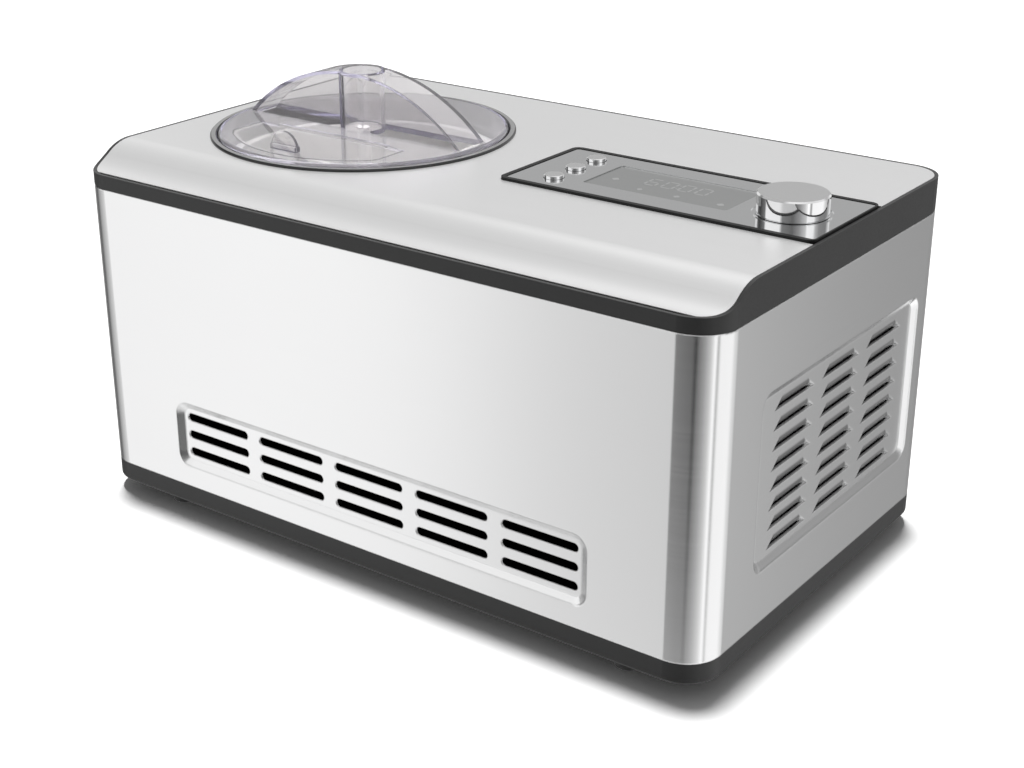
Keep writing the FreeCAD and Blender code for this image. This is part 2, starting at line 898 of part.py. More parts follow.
# Lid, hinge pin and filler flap

def arch(inset, z0):
    half = arch_half
    rise = handle_apex - lid_under
    radius = (half ** 2 + rise ** 2) / (2 * rise)
    centre = handle_apex - radius
    inner = radius - inset
    reach = math.sqrt(inner ** 2 - (z0 - centre) ** 2)
    side = handle_width / 2 - inset
    place = upright(drum_y - side)
    wire = outline(place(drum_x - reach, z0), (place(drum_x, centre + inner), place(drum_x + reach, z0)))
    return extruded(wire, V(0, 2 * side, 0))


def flap_prism(grow, back, z):
    at = level(z)
    half = flap_half_width + grow
    far = flap_reach_radius + grow
    side = drum_y - math.sqrt(far ** 2 - half ** 2)
    wire = outline(
        at(drum_x - half, back), at(drum_x - half, side),
        (at(drum_x, drum_y - far), at(drum_x + half, side)), at(drum_x + half, back))
    prism = extruded(wire, V(0, 0, lid_top - z))
    front_corners = [edge for edge in prism.Edges
                     if edge.BoundBox.ZLength > overcut and edge.BoundBox.YMax < back - flap_corner]
    return prism.makeFillet(flap_corner, front_corners)


def hinge_line():
    return drum_y + flap_hinge_y, lid_top - hinge_drop, hinge_barrel + moving_gap


def lid():
    skirt_inner = lid_radius - lid_wall
    edge = lid_edge_radius
    k = edge * math.sqrt(0.5)
    plate = turned(
        drum_x, drum_y,
        (0, lid_top), (lid_radius - edge, lid_top),
        ((lid_radius - edge + k, lid_top - edge + k), (lid_radius, lid_top - edge)),
        (lid_radius, rim_bottom), (skirt_inner, rim_bottom), (skirt_inner, lid_under), (0, lid_under))
    column = post(column_radius, lid_under, handle_apex, drum_x, drum_y)
    solid = plate.fuse([arch(0, lid_under), column])
    hollow = arch(handle_wall, lid_under).cut(column)
    bore = post(column_radius - handle_wall, lid_under + column_web, handle_apex - column_cap, drum_x, drum_y)
    hole = post(guide_pin_radius + moving_gap, lid_under, lid_under + column_web, drum_x, drum_y)
    y, z, room = hinge_line()
    rebate = flap_prism(moving_gap, y - room, lid_top - flap_thickness - moving_gap)
    window = flap_prism(-flap_ledge, y - room, lid_under)
    half = hinge_share_length / 2 + moving_gap
    trough = box(drum_x - half, drum_x + half, y - room, y + room, lid_under, lid_top)
    pin_bore = rod_x(hinge_pin_radius, drum_x - half - hinge_ear, drum_x + half + hinge_ear, y, z)
    shape = solid.cut([hollow, bore, hole, rebate, window, trough]).cut(pin_bore)
    return shape.removeSplitter()


def flap_hinge_pin():
    y, z, room = hinge_line()
    half = hinge_share_length / 2 + moving_gap + hinge_ear
    return rod_x(hinge_pin_radius, drum_x - half, drum_x + half, y, z)


def filler_flap():
    low = lid_top - flap_thickness
    y, z, room = hinge_line()
    plate = flap_prism(-moving_gap, y, low)
    half = hinge_share_length / 2
    swing = math.hypot(room, hinge_drop) + fit
    relief = box(drum_x - flap_half_width, drum_x - half, y - swing, y, low, lid_top)
    other = moved(relief, half + flap_half_width, 0, 0)
    barrel = rod_x(hinge_barrel, drum_x - half, drum_x + half, y, z)
    tab_half = tab_width / 2
    tab_y = drum_y - tab_reach
    at = upright(tab_y - tab_thickness / 2)
    arc = outline(at(drum_x - tab_half, low),
                  (at(drum_x, lid_top + tab_height), at(drum_x + tab_half, low)))
    tab = extruded(arc, V(0, tab_thickness, 0))
    foot_half = tab_foot_depth / 2
    tab_foot = box(drum_x - tab_half, drum_x + tab_half, tab_y - foot_half, tab_y + foot_half,
                   low, lid_top + tab_foot_height)
    flap = plate.cut([relief, other]).fuse([barrel, tab, tab_foot])
    bore = rod_x(hinge_pin_radius + running_fit, drum_x - half, drum_x + half, y, z)
    return flap.cut(bore).removeSplitter()


# Control panel

def panel_bezel():
    ring_top = deck_top + bezel_proud
    frame = panel_slab(0, 0, panel_seat, ring_top)
    well = panel_slab(bezel_border, bezel_right_border, shelf_top, ring_top)
    window_inset = bezel_border + bezel_shelf
    window = panel_slab(window_inset, window_inset, panel_seat, ring_top)
    return frame.cut([well, window])


def button_places():
    for step in (-1, 0, 1):
        yield button_x, panel_y + step * button_pitch


def display_slab(grow, z0, z1):
    return slab(display_x - display_length / 2 - grow, display_x + display_length / 2 + grow,
                display_y - display_depth / 2 - grow, display_y + display_depth / 2 + grow,
                display_corner, z0, z1)


def panel_fascia():
    fascia = panel_slab(bezel_border + fit, bezel_right_border + fit, shelf_top, fascia_top)
    cuts = [display_slab(fit, shelf_top, fascia_top)]
    for x, y in button_places():
        cuts.append(post(button_radius + button_gap, shelf_top, fascia_top, x, y))
    cuts.append(post(encoder_bush_radius + fit, shelf_top, fascia_top, knob_x, knob_y))
    groove_inner = knob_radius + groove_gap
    cuts.append(ring(groove_inner + groove_width, groove_inner, fascia_top - groove_depth, fascia_top,
                     knob_x, knob_y))
    return fascia.cut(cuts)


def display_lens():
    top = fascia_top - lens_below
    return display_slab(0, top - lens_thickness, top)


def display_module():
    top = fascia_top - lens_below - lens_thickness
    frame = display_slab(module_margin, board_top, panel_seat)
    face = display_slab(-module_margin, board_top, top)
    return frame.fuse(face).removeSplitter()


def push_button(x, y):
    top = fascia_top + button_height
    edge = button_edge
    k = edge * (1 - math.sqrt(0.5))
    flange_top = shelf_top - moving_gap
    flange_bottom = flange_top - button_flange_height
    return turned(
        x, y,
        (0, button_bottom), (button_stem_radius, button_bottom), (button_stem_radius, flange_bottom),
        (button_radius + button_flange, flange_bottom), (button_radius + button_flange, flange_top),
        (button_radius, flange_top),
        (button_radius, top - edge), ((button_radius - k, top - k), (button_radius - edge, top)), (0, top))


def button_switches():
    half = switch_size / 2
    switches = []
    for x, y in button_places():
        body = box(x - half, x + half, y - half, y + half, board_top, switch_top)
        switches.append(body.fuse(post(plunger_radius, switch_top, plunger_top, x, y)).removeSplitter())
    return Part.makeCompound(switches)


def timer_knob():
    low = fascia_top + moving_gap
    top = fascia_top + knob_height
    inner = knob_radius - knob_wall
    cap = top - knob_top
    bore = encoder_shaft_radius
    return turned(
        knob_x, knob_y,
        (bore, low + knob_wall), (knob_hub_radius, low + knob_wall), (knob_hub_radius, cap), (inner, cap),
        (inner, low), (knob_radius, low), (knob_radius, top - knob_edge), (knob_radius - knob_edge, top),
        (0, top), (0, cap), (bore, cap))


def encoder_shaft():
    return post(encoder_shaft_radius, board_top + encoder_height / 2, fascia_top + knob_height - knob_top,
                knob_x, knob_y)


def encoder_body():
    half = encoder_size / 2
    body = box(knob_x - half, knob_x + half, knob_y - half, knob_y + half,
               board_top, board_top + encoder_height)
    bush = post(encoder_bush_radius, board_top, fascia_top + moving_gap, knob_x, knob_y)
    bore = post(encoder_shaft_radius + running_fit, board_top + encoder_height / 2 - moving_gap,
                fascia_top + 2 * moving_gap, knob_x, knob_y)
    return body.fuse(bush).cut(bore).removeSplitter()


def control_board():
    board = panel_slab(board_inset, board_inset, board_bottom, board_top)
    return board.cut([post(screw_radius + fit, board_bottom, board_top, x, y) for x, y in board_posts()])


def board_screws():
    screws = []
    for x, y in board_posts():
        head = post(screw_head_radius, board_bottom - screw_head, board_bottom, x, y)
        stem = post(screw_radius, board_bottom, board_top, x, y)
        screws.append(head.fuse(stem).removeSplitter())
    return Part.makeCompound(screws)


# Gearbox, gears, shaft and motor

def gear(teeth, module, x, y, z0, z1, tooth_angle):
    tip = module * (teeth / 2 + tooth_addendum)
    root = module * (teeth / 2 - tooth_dedendum)
    pitch = 360 / teeth
    corners = ((root, -tooth_root_share), (tip, -tooth_tip_share),
               (tip, tooth_tip_share), (root, tooth_root_share))
    points = []
    for tooth in range(teeth):
        middle = tooth_angle + tooth * pitch
        for radius, share in corners:
            turn = math.radians(middle + share * pitch)
            points.append(V(x + radius * math.cos(turn), y + radius * math.sin(turn), z0))
    return extruded(Part.makePolygon(points + points[:1]), V(0, 0, z1 - z0))


def output_gear():
    wheel = gear(second_wheel_teeth, second_module, drum_x, drum_y, second_bottom, second_top, 0)
    return wheel.cut(post(shaft_radius, second_bottom, second_top, drum_x, drum_y))


def compound_gear():
    wheel = gear(first_wheel_teeth, first_module, gear_pin_x, gear_pin_y, first_bottom, first_top, 90)
    pinion = gear(second_pinion_teeth, second_module, gear_pin_x, gear_pin_y, first_top, second_top,
                  180 + 180 / second_pinion_teeth)
    bore = post(gear_pin_radius + running_fit, first_bottom, second_top, gear_pin_x, gear_pin_y)
    return wheel.fuse(pinion).cut(bore).removeSplitter()


def gear_pin():
    return post(gear_pin_radius, case_bottom, cover_top, gear_pin_x, gear_pin_y)


def motor_pinion():
    pinion = gear(first_pinion_teeth, first_module, motor_x, motor_y, first_bottom, first_top,
                  270 + 180 / first_pinion_teeth)
    return pinion.cut(post(motor_shaft_radius, first_bottom, first_top, motor_x, motor_y))


def motor_shaft():
    return post(motor_shaft_radius, case_bottom - motor_length / 2, first_top + gear_gap / 2,
                motor_x, motor_y)


def stirrer_motor():
    low = case_bottom - motor_length
    body = turned(
        motor_x, motor_y,
        (0, low), (motor_radius - motor_chamfer, low), (motor_radius, low + motor_chamfer),
        (motor_radius, case_bottom - motor_chamfer), (motor_radius - motor_chamfer, case_bottom),
        (0, case_bottom))
    return body.cut(post(motor_shaft_radius + running_fit, case_bottom - motor_length / 2 - moving_gap,
                         case_bottom, motor_x, motor_y))


def gearbox_case():
    left, right, front, back = case_edges()
    case = slab(left, right, front, back, case_corner, case_bottom, cover_bottom)
    room = slab(left + case_wall, right - case_wall, front + case_wall, back - case_wall,
                case_corner - case_wall, case_bottom + case_floor, cover_bottom)
    corners = [post(case_post_radius, case_bottom, cover_bottom, x, y) for x, y in case_posts()]
    case = case.cut(room).fuse(corners)
    holes = [post(bush_outer, case_bottom, cover_bottom, drum_x, drum_y),
             post(gear_pin_radius, case_bottom, cover_bottom, gear_pin_x, gear_pin_y),
             post(2 * motor_shaft_radius, case_bottom, cover_bottom, motor_x, motor_y)]
    holes += [post(screw_radius, case_bottom, cover_bottom, x, y) for x, y in case_posts()]
    return case.cut(holes).removeSplitter()


def gearbox_cover():
    left, right, front, back = case_edges()
    cover = slab(left, right, front, back, case_corner, cover_bottom, cover_top)
    holes = [post(bush_outer, cover_bottom, cover_top, drum_x, drum_y),
             post(gear_pin_radius, cover_bottom, cover_top, gear_pin_x, gear_pin_y)]
    for x, y in case_posts():
        holes.append(post(screw_radius, cover_bottom, cover_top, x, y))
        holes.append(post(screw_head_radius + fit, cover_top - screw_head, cover_top, x, y))
    return cover.cut(holes)


def gearbox_screws():
    screws = []
    for x, y in case_posts():
        head = post(screw_head_radius, cover_top - screw_head, cover_top, x, y)
        stem = post(screw_radius, cover_top - screw_length, cover_top - screw_head, x, y)
        screws.append(head.fuse(stem).removeSplitter())
    return Part.makeCompound(screws)


def drive_shaft():
    low = case_bottom
    square_low = shaft_top - shaft_square_length
    half = shaft_square / 2
    stem = post(shaft_radius, low, square_low, drum_x, drum_y)
    square = box(drum_x - half, drum_x + half, drum_y - half, drum_y + half, square_low, shaft_top)
    square = square.common(post(shaft_radius, square_low, shaft_top, drum_x, drum_y))
    return stem.fuse(square).removeSplitter()


def lower_shaft_bush():
    return ring(bush_outer, shaft_radius + running_fit, case_bottom, case_bottom + case_floor, drum_x, drum_y)


def upper_shaft_bush():
    return ring(bush_outer, shaft_radius + running_fit, cover_bottom, drum_floor, drum_x, drum_y)


def shaft_seal():
    low = drum_floor + moving_gap
    return ring(shaft_radius + shaft_seal_wall, shaft_radius, low, low + shaft_seal_height, drum_x, drum_y)


# Compressor and its mountings

def compressor():
    low = compressor_bottom + compressor_foot
    waist = (compressor_bottom + compressor_top) / 2
    shoulder = compressor_top - compressor_dome
    edge = compressor_dome * (1 - math.sqrt(0.5))
    r = compressor_radius
    weld = compressor_radius + compressor_weld
    can = turned(
        compressor_x, compressor_y,
        (0, low), (r - compressor_chamfer, low), (r, low + compressor_chamfer),
        (r, waist - weld_half), (weld, waist - weld_half), (weld, waist + weld_half), (r, waist + weld_half),
        (r, shoulder), ((r - edge, compressor_top - edge), (r - compressor_dome, compressor_top)),
        (0, compressor_top))
    reach = compressor_radius + compressor_foot_reach
    half = reach * math.sqrt(0.5)
    plate = slab(compressor_x - half, compressor_x + half, compressor_y - half, compressor_y + half,
                 grommet_radius, compressor_bottom, low)
    stubs = [post(stub_radius, compressor_top - compressor_dome, stub_top, compressor_x, compressor_y),
             post(stub_radius, compressor_top - compressor_dome, stub_top,
                  compressor_x + discharge_offset, compressor_y)]
    holes = [post(bolt_radius + fit, compressor_bottom, low, x, y) for x, y in compressor_posts()]
    return can.fuse([plate] + stubs).cut(holes).removeSplitter()


def compressor_grommets():
    return Part.makeCompound([ring(grommet_radius, bolt_radius, floor_top, compressor_bottom, x, y)
                              for x, y in compressor_posts()])


def compressor_bolts():
    bolts = []
    top = compressor_bottom + compressor_foot
    for x, y in compressor_posts():
        head = post(bolt_head, top, top + bolt_radius, x, y)
        bolts.append(head.fuse(post(bolt_radius, floor_top, top, x, y)).removeSplitter())
    return Part.makeCompound(bolts)


def relay_box():
    half = relay_width / 2
    front = compressor_y - compressor_radius - relay_depth
    low = compressor_bottom + compressor_foot + moving_gap + bolt_head
    body = slab(compressor_x - half, compressor_x + half, front, compressor_y - compressor_radius / 2,
                relay_corner, low, low + relay_height)
    can = post(compressor_radius, low, low + relay_height, compressor_x, compressor_y)
    return body.cut(can)


# Condenser, fan and refrigerant lines

def condenser():
    front = fan_y - condenser_width / 2
    back = fan_y + condenser_width / 2
    core = box(condenser_left, condenser_right, front, back, condenser_bottom, condenser_top)
    pitch = (condenser_width - 2 * condenser_plate) / condenser_fins
    grooves = []
    for fin in range(condenser_fins):
        y0 = front + condenser_plate + fin * pitch + condenser_fin / 2
        y1 = y0 + pitch - condenser_fin
        for x0 in (condenser_left, condenser_right - condenser_groove):
            grooves.append(box(x0, x0 + condenser_groove, y0, y1, condenser_bottom, condenser_top))
    plates = [box(condenser_left, condenser_right, y, y + condenser_plate, floor_top, condenser_top)
              for y in (front, back - condenser_plate)]
    middle = (condenser_left + condenser_right) / 2
    inlet = post(stub_radius, condenser_top - overcut, condenser_top + stub_height, middle, compressor_y)
    outlet = rod_y(stub_radius, front - stub_height, front + overcut, middle, coil_ends()[0].z)
    return core.cut(grooves).fuse(plates + [inlet, outlet]).removeSplitter()


def fan_shroud():
    half = fan_radius + fan_tip_gap + shroud_margin
    plate = slab(-half, half, -half, half, shroud_margin, 0, shroud_wall)
    tunnel = post(fan_radius + fan_tip_gap + shroud_wall, 0, shroud_depth, 0, 0)
    solid = plate.fuse(tunnel).cut(post(fan_radius + fan_tip_gap, 0, shroud_depth, 0, 0))
    arms = [box(-fan_radius - fan_tip_gap - overcut, fan_radius + fan_tip_gap + overcut,
                -fan_arm_width / 2, fan_arm_width / 2, shroud_depth - shroud_wall, shroud_depth),
            box(-fan_arm_width / 2, fan_arm_width / 2, -fan_radius - fan_tip_gap - overcut,
                fan_radius + fan_tip_gap + overcut, shroud_depth - shroud_wall, shroud_depth)]
    hub = post(fan_motor_radius, shroud_depth - shroud_wall, shroud_depth, 0, 0)
    shroud = solid.fuse(arms + [hub]).cut(post(2 * fan_shaft_radius, 0, shroud_depth, 0, 0))
    return facing_left(shroud.removeSplitter())


def facing_left(shape):
    shape.rotate(V(0, 0, 0), V(0, 1, 0), -90)
    return moved(shape, condenser_left, fan_y, fan_z)


def fan_blade():
    low = (shroud_depth - shroud_wall - fan_depth) / 2
    high = low + fan_depth
    hub = post(fan_hub_radius, low, high, 0, 0)
    blades = []
    thick = fan_blade_thickness / 2
    half = (fan_depth - fan_blade_margin) / 2
    sections = []
    for radius, twist in ((fan_hub_radius - fan_blade_root, fan_root_twist), (fan_radius, fan_tip_twist)):
        wire = Part.makePolygon([V(radius, -thick, -half), V(radius, thick, -half),
                                 V(radius, thick, half), V(radius, -thick, half), V(radius, -thick, -half)])
        wire.rotate(V(0, 0, 0), V(1, 0, 0), twist)
        sections.append(wire)
    blade = moved(Part.makeLoft(sections, True, True), 0, 0, (low + high) / 2)
    for number in range(fan_blades):
        copy = blade.copy()
        copy.rotate(V(0, 0, 0), V(0, 0, 1), number * 360 / fan_blades)
        blades.append(copy)
    shaft = post(fan_shaft_radius, low, shroud_depth + fan_motor_length / 2, 0, 0)
    return facing_left(hub.fuse(blades + [shaft]).removeSplitter())


def fan_motor():
    body = post(fan_motor_radius, shroud_depth, shroud_depth + fan_motor_length, 0, 0)
    bore = post(fan_shaft_radius + running_fit, shroud_depth,
                shroud_depth + fan_motor_length / 2 + moving_gap, 0, 0)
    return facing_left(body.cut(bore))


def suction_line():
    start = coil_ends()[1]
    return bent_tube([start, V(start.x, compressor_y, start.z), V(compressor_x, compressor_y, start.z),
                      V(compressor_x, compressor_y, stub_top)], line_bend, coil_wire)


def discharge_line():
    x = compressor_x + discharge_offset
    middle = (condenser_left + condenser_right) / 2
    high = max(stub_top, condenser_top + stub_height) + 2 * line_bend
    return bent_tube([V(x, compressor_y, stub_top), V(x, compressor_y, high), V(middle, compressor_y, high),
                      V(middle, compressor_y, condenser_top + stub_height)], line_bend, stub_radius)


def drier_ends():
    return fan_y - condenser_width / 2 - stub_height, -half_depth + capillary_front_gap + line_bend


def filter_drier():
    back, front = drier_ends()
    middle = (condenser_left + condenser_right) / 2
    z = coil_ends()[0].z
    body = rod_y(drier_radius, front + drier_neck, back - drier_neck, middle, z)
    necks = [rod_y(stub_radius, back - drier_neck, back, middle, z),
             rod_y(stub_radius, front, front + drier_neck, middle, z)]
    return body.fuse(necks).removeSplitter()


def capillary_line():
    start = coil_ends()[0]
    end = V((condenser_left + condenser_right) / 2, drier_ends()[1], start.z)
    front = -half_depth + capillary_front_gap
    return bent_tube([start, V(start.x, front, start.z), V(end.x, front, start.z), end],
                     line_bend - running_fit, capillary_radius)


feet = dict(zip(("foot_front_left", "foot_rear_left", "foot_front_right", "foot_rear_right"), foot_places()))
buttons = dict(zip(("power_button", "menu_button", "start_button"), button_places()))

pieces = {
    "base_tray": base_tray(),
    "foot_screws": foot_screws(),
    "steel_shell": steel_shell(),
    "rear_panel": rear_panel(),
    "rear_panel_screws": rear_panel_screws(),
    "cord_gland": cord_gland(),
    "top_frame": top_frame(),
    "top_plate": top_plate(),
    "bowl_collar": bowl_collar(),
    "collar_seal": collar_seal(),
    "cooling_drum": cooling_drum(),
    "evaporator_coil": evaporator_coil(),
    "foam_jacket": foam_jacket(),
    "mixing_bowl": mixing_bowl(),
    "paddle": paddle(),
    "lid": lid(),
    "flap_hinge_pin": flap_hinge_pin(),
    "filler_flap": filler_flap(),
    "panel_bezel": panel_bezel(),
    "panel_fascia": panel_fascia(),
    "display_lens": display_lens(),
    "display_module": display_module(),
    "button_switches": button_switches(),
    "timer_knob": timer_knob(),
    "encoder_shaft": encoder_shaft(),
    "encoder_body": encoder_body(),
    "control_board": control_board(),
    "board_screws": board_screws(),
    "output_gear": output_gear(),
    "compound_gear": compound_gear(),
    "gear_pin": gear_pin(),
    "motor_pinion": motor_pinion(),
    "motor_shaft": motor_shaft(),
    "stirrer_motor": stirrer_motor(),
    "gearbox_case": gearbox_case(),
    "gearbox_cover": gearbox_cover(),
    "gearbox_screws": gearbox_screws(),
    "drive_shaft": drive_shaft(),
    "lower_shaft_bush": lower_shaft_bush(),
    "upper_shaft_bush": upper_shaft_bush(),
    "shaft_seal": shaft_seal(),
    "compressor": compressor(),
    "compressor_grommets": compressor_grommets(),
    "compressor_bolts": compressor_bolts(),
    "relay_box": relay_box(),
    "condenser": condenser(),
    "fan_shroud": fan_shroud(),
    "fan_blade": fan_blade(),
    "fan_motor": fan_motor(),
    "suction_line": suction_line(),
    "discharge_line": discharge_line(),
    "filter_drier": filter_drier(),
    "capillary_line": capillary_line(),
}
for name, (x, y) in feet.items():
    pieces[name] = foot(x, y)
for name, (x, y) in buttons.items():
    pieces[name] = push_button(x, y)

os.makedirs("parts", exist_ok=True)
for name, shape in pieces.items():
    shape.exportStep(os.path.join("parts", name + ".step"))
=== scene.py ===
import json
import math

import bpy
from bpy.props import FloatProperty, FloatVectorProperty, PointerProperty
from bpy.types import Operator, Panel, PropertyGroup
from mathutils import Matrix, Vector


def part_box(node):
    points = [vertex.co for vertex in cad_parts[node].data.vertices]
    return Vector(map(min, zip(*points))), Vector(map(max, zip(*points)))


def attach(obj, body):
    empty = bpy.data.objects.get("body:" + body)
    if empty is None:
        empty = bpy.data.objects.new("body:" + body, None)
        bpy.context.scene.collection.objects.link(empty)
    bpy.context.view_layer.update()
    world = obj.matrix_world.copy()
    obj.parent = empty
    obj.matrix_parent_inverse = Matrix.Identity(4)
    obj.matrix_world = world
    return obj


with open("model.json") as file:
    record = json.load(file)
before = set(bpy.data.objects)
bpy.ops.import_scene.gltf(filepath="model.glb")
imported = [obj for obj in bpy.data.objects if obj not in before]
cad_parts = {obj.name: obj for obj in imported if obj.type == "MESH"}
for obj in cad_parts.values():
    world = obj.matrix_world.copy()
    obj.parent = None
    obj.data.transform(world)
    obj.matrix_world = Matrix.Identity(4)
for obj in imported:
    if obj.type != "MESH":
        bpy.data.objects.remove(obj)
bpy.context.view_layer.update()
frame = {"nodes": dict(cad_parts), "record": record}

bl_info = {
    "name": "Ice Cream Maker Finish",
    "version": (1, 0, 0),
    "blender": (4, 5, 0),
    "location": "View3D > Sidebar > Ice Cream Maker",
    "description": "Dresses the parts of an ice cream maker and sets up a studio round it",
    "category": "Object",
}

MILLIMETRE = 0.001
SENSOR_WIDTH = 36.0

# Middle part of a noise texture's values, which is spread over a range
NOISE_SPREAD = (0.3, 0.7)

# How far the louvres' recessed face and their deepest point lie behind the outer wall; they bound the
# painted shade inside the louvres
LOUVRE_FACE = 2.5 * MILLIMETRE
LOUVRE_FLOOR = 8.0 * MILLIMETRE

# Parts of a normal between which a face turns into a flat top (the satin tops, and the painted sheen on
# the collar's top), a louvre's slope or past its rear end (bounds of the painted louvre shade)
FLAT_TOP = (0.93, 0.985)
LOUVRE_SLOPE = (0.03, 0.12)
LOUVRE_END = (-0.25, -0.08)

# Brightness that metal mirrors, by angle from the front in degrees, in rings from the lowest up
FLOOR_FIELDS = ((-180, 0.18), (-150, 0.22), (-110, 0.60), (-83, 0.75), (-36, 1.0), (0, 0.80), (40, 0.90),
                (70, 1.25), (147, 1.25), (154, 0.30), (165, 0.18), (179, 0.18))
LOW_FIELDS = ((-180, 0.36), (-140, 0.20), (-112, 0.42), (-100, 0.14), (-88, 0.14), (-78, 0.42),
              (-62, 0.62), (-53, 1.08), (-42, 1.12), (-39, 1.06), (-34, 0.74), (-28, 0.70), (-25, 0.40),
              (-22, 0.15), (0, 0.14), (19, 0.10), (24, 0.0), (28, 0.0), (31, 0.12), (50, 0.34), (64, 0.62),
              (72, 0.95), (75, 1.25), (79, 1.15), (82, 0.44), (86, 0.42), (89, 1.05), (130, 1.10),
              (140, 0.78), (150, 0.58), (156, 0.34), (179, 0.34))
MIDDLE_FIELDS = ((-180, 0.95), (-172, 0.80), (-164, 0.43), (-134, 0.43), (-126, 0.85), (-112, 0.85),
                 (-104, 0.10), (-90, 0.06), (-67, 0.22), (-62, 1.10), (-12, 1.05), (-4, 0.25), (28, 0.15),
                 (50, 0.35), (70, 0.70), (74, 1.15), (96, 1.10), (104, 0.55), (120, 0.28), (152, 0.25),
                 (166, 0.60), (179, 0.95))
HIGH_FIELDS = ((-180, 0.95), (-140, 0.95), (-124, 0.52), (-30, 0.50), (0, 0.90), (60, 0.95), (120, 0.80),
               (179, 0.95))

# The upper rings, each with the heights of direction between which it takes over
RINGS = ((LOW_FIELDS, -0.62, -0.52), (MIDDLE_FIELDS, -0.03, 0.06), (HIGH_FIELDS, 0.42, 0.56))

# Plain signs on the display: steps right and up from the window's middle, and width, in millimetres
SIGNS = ((-34.0, -3.0, 4.2), (-13.0, -12.0, 3.2), (10.0, -12.0, 3.6), (36.0, -11.0, 4.2))


def colour(name, description, default):
    """A colour that a user can change in the sidebar."""
    return FloatVectorProperty(name=name, description=description, default=default,
                               subtype="COLOR", size=3, min=0.0, max=1.0)


def length(name, description, default):
    """A length that a user can change in the sidebar."""
    return FloatProperty(name=name, description=description, default=default, unit="LENGTH", min=0.0)


def share(name, description, default):
    """A share from nought to one that a user can change in the sidebar."""
    return FloatProperty(name=name, description=description, default=default,
                         subtype="FACTOR", min=0.0, max=1.0)


class FinishSettings(PropertyGroup):
    """Colours and gloss of the outer parts."""

    steel: colour("Steel", "Brushed steel of the shell", (0.84, 0.84, 0.842))
    steel_roughness: share("Steel roughness", "Softness of the shell's reflections", 0.20)
    steel_brush: share("Steel brush", "How far the brushing stretches reflections", 0.85)
    steel_edge: length("Steel edge", "Radius that softens the shell's pressed edges", 1.2 * MILLIMETRE)
    # painted shade: the steel is painted darker inside the louvres, where shade falls
    steel_louvre_painted_shade: share("Louvre shade", "Darker tone inside the pressed louvres", 0.48)
    plate: colour("Plate", "Satin metal of the top plate", (0.93, 0.93, 0.93))
    plate_roughness: share("Plate roughness", "Softness of the plate's reflections", 0.34)
    plate_metal: share("Plate metal", "How far the plate mirrors like bare metal", 0.55)
    plate_edge: length("Plate edge", "Radius that softens the plate's edges", 0.4 * MILLIMETRE)
    black: colour("Black plastic", "Moulded top frame and base", (0.045, 0.045, 0.045))
    collar: colour("Collar", "Ring round the bowl opening", (0.018, 0.018, 0.018))
    # painted sheen: the collar's upward face is painted lighter than its black sides
    collar_top_painted_sheen: colour("Collar top", "Satin upper face of that ring", (0.30, 0.30, 0.30))
    fascia: colour("Fascia", "Polished metal front of the control panel", (0.84, 0.845, 0.85))
    fascia_roughness: share("Fascia roughness", "Softness of the fascia's reflections", 0.11)
    lens: colour("Display", "Grey window of the display", (0.26, 0.264, 0.262))
    mark: colour("Display marks", "Faint unlit segments of the display", (0.40, 0.405, 0.403))
    chrome: colour("Chrome", "Plating of the knob and the buttons", (0.88, 0.88, 0.885))
    knob_top: colour("Knob top", "Spun satin top of the knob", (0.84, 0.84, 0.84))
    button_top: colour("Button tops", "Satin tops of the buttons", (0.84, 0.84, 0.84))
    clear: colour("Clear plastic", "Body of the lid and the flap", (1.0, 0.99, 0.975))
    clear_edge: colour("Clear edge", "Tint that long paths through the lid pick up", (0.52, 0.46, 0.92))
    clear_density: FloatProperty(name="Clear density", description="Strength of the edge tint",
                                 default=20.0, min=0.0)
    clear_haze: share("Clear haze", "How milky the clear plastic is", 0.065)


class DisplaySettings(PropertyGroup):
    """Sizes of the faint marks on the display window."""

    digit_height: length("Digit height", "Height of one digit", 11.0 * MILLIMETRE)
    digit_width: length("Digit width", "Width of one digit", 6.6 * MILLIMETRE)
    digit_pitch: length("Digit pitch", "Step from one digit to the next", 10.4 * MILLIMETRE)
    segment_width: length("Segment width", "Width of one bar of a digit", 1.1 * MILLIMETRE)
    mark_thickness: length("Mark thickness", "How far the marks stand on the window", 0.03 * MILLIMETRE)
    bar_point: share("Bar point", "Share of a bar's width that each of its corners loses", 0.42)
    row_right: length("Row right", "Step of the digits right of the window's middle", 2.0 * MILLIMETRE)
    row_up: length("Row up", "Step of the digits behind the window's middle", 3.5 * MILLIMETRE)
    colon_step: share("Colon step", "Step of the colon's dots, as a share of the digit height", 0.22)


class StageSettings(PropertyGroup):
    """Camera, lights and floor."""

    camera_place: FloatVectorProperty(name="Camera place", description="Where the camera stands",
                                      default=(0.56573, -0.76800, 0.48230), subtype="TRANSLATION",
                                      unit="LENGTH", size=3)
    camera_turn: FloatProperty(name="Camera turn", description="Angle round the object from its front",
                               default=math.radians(36.13), subtype="ANGLE")
    camera_tilt: FloatProperty(name="Camera tilt", description="Angle above the horizon",
                               default=math.radians(23.0), subtype="ANGLE")
    camera_lens: FloatProperty(name="Camera lens", description="Focal length",
                               default=61.0, min=1.0, unit="CAMERA")
    floor_size: length("Floor size", "Side of the floor", 14.0)
    floor_shade: share("Floor shade", "Pale grey of the floor", 0.80)
    floor_white: FloatProperty(name="Floor white", description="Floor as the camera sees it",
                               default=1.35, min=0.0)
    sun_strength: FloatProperty(name="Key strength", description="Strength of the light from above",
                                default=2.7, min=0.0)
    sun_width: FloatProperty(name="Key width", description="Width of the light from above, as an angle",
                             default=math.radians(5.5), subtype="ANGLE")
    sun_lean: FloatProperty(name="Key lean", description="How far the light from above leans back",
                            default=math.radians(3.2), subtype="ANGLE")
    fill_strength: share("Fill strength", "Strength of the light from all round", 0.14)


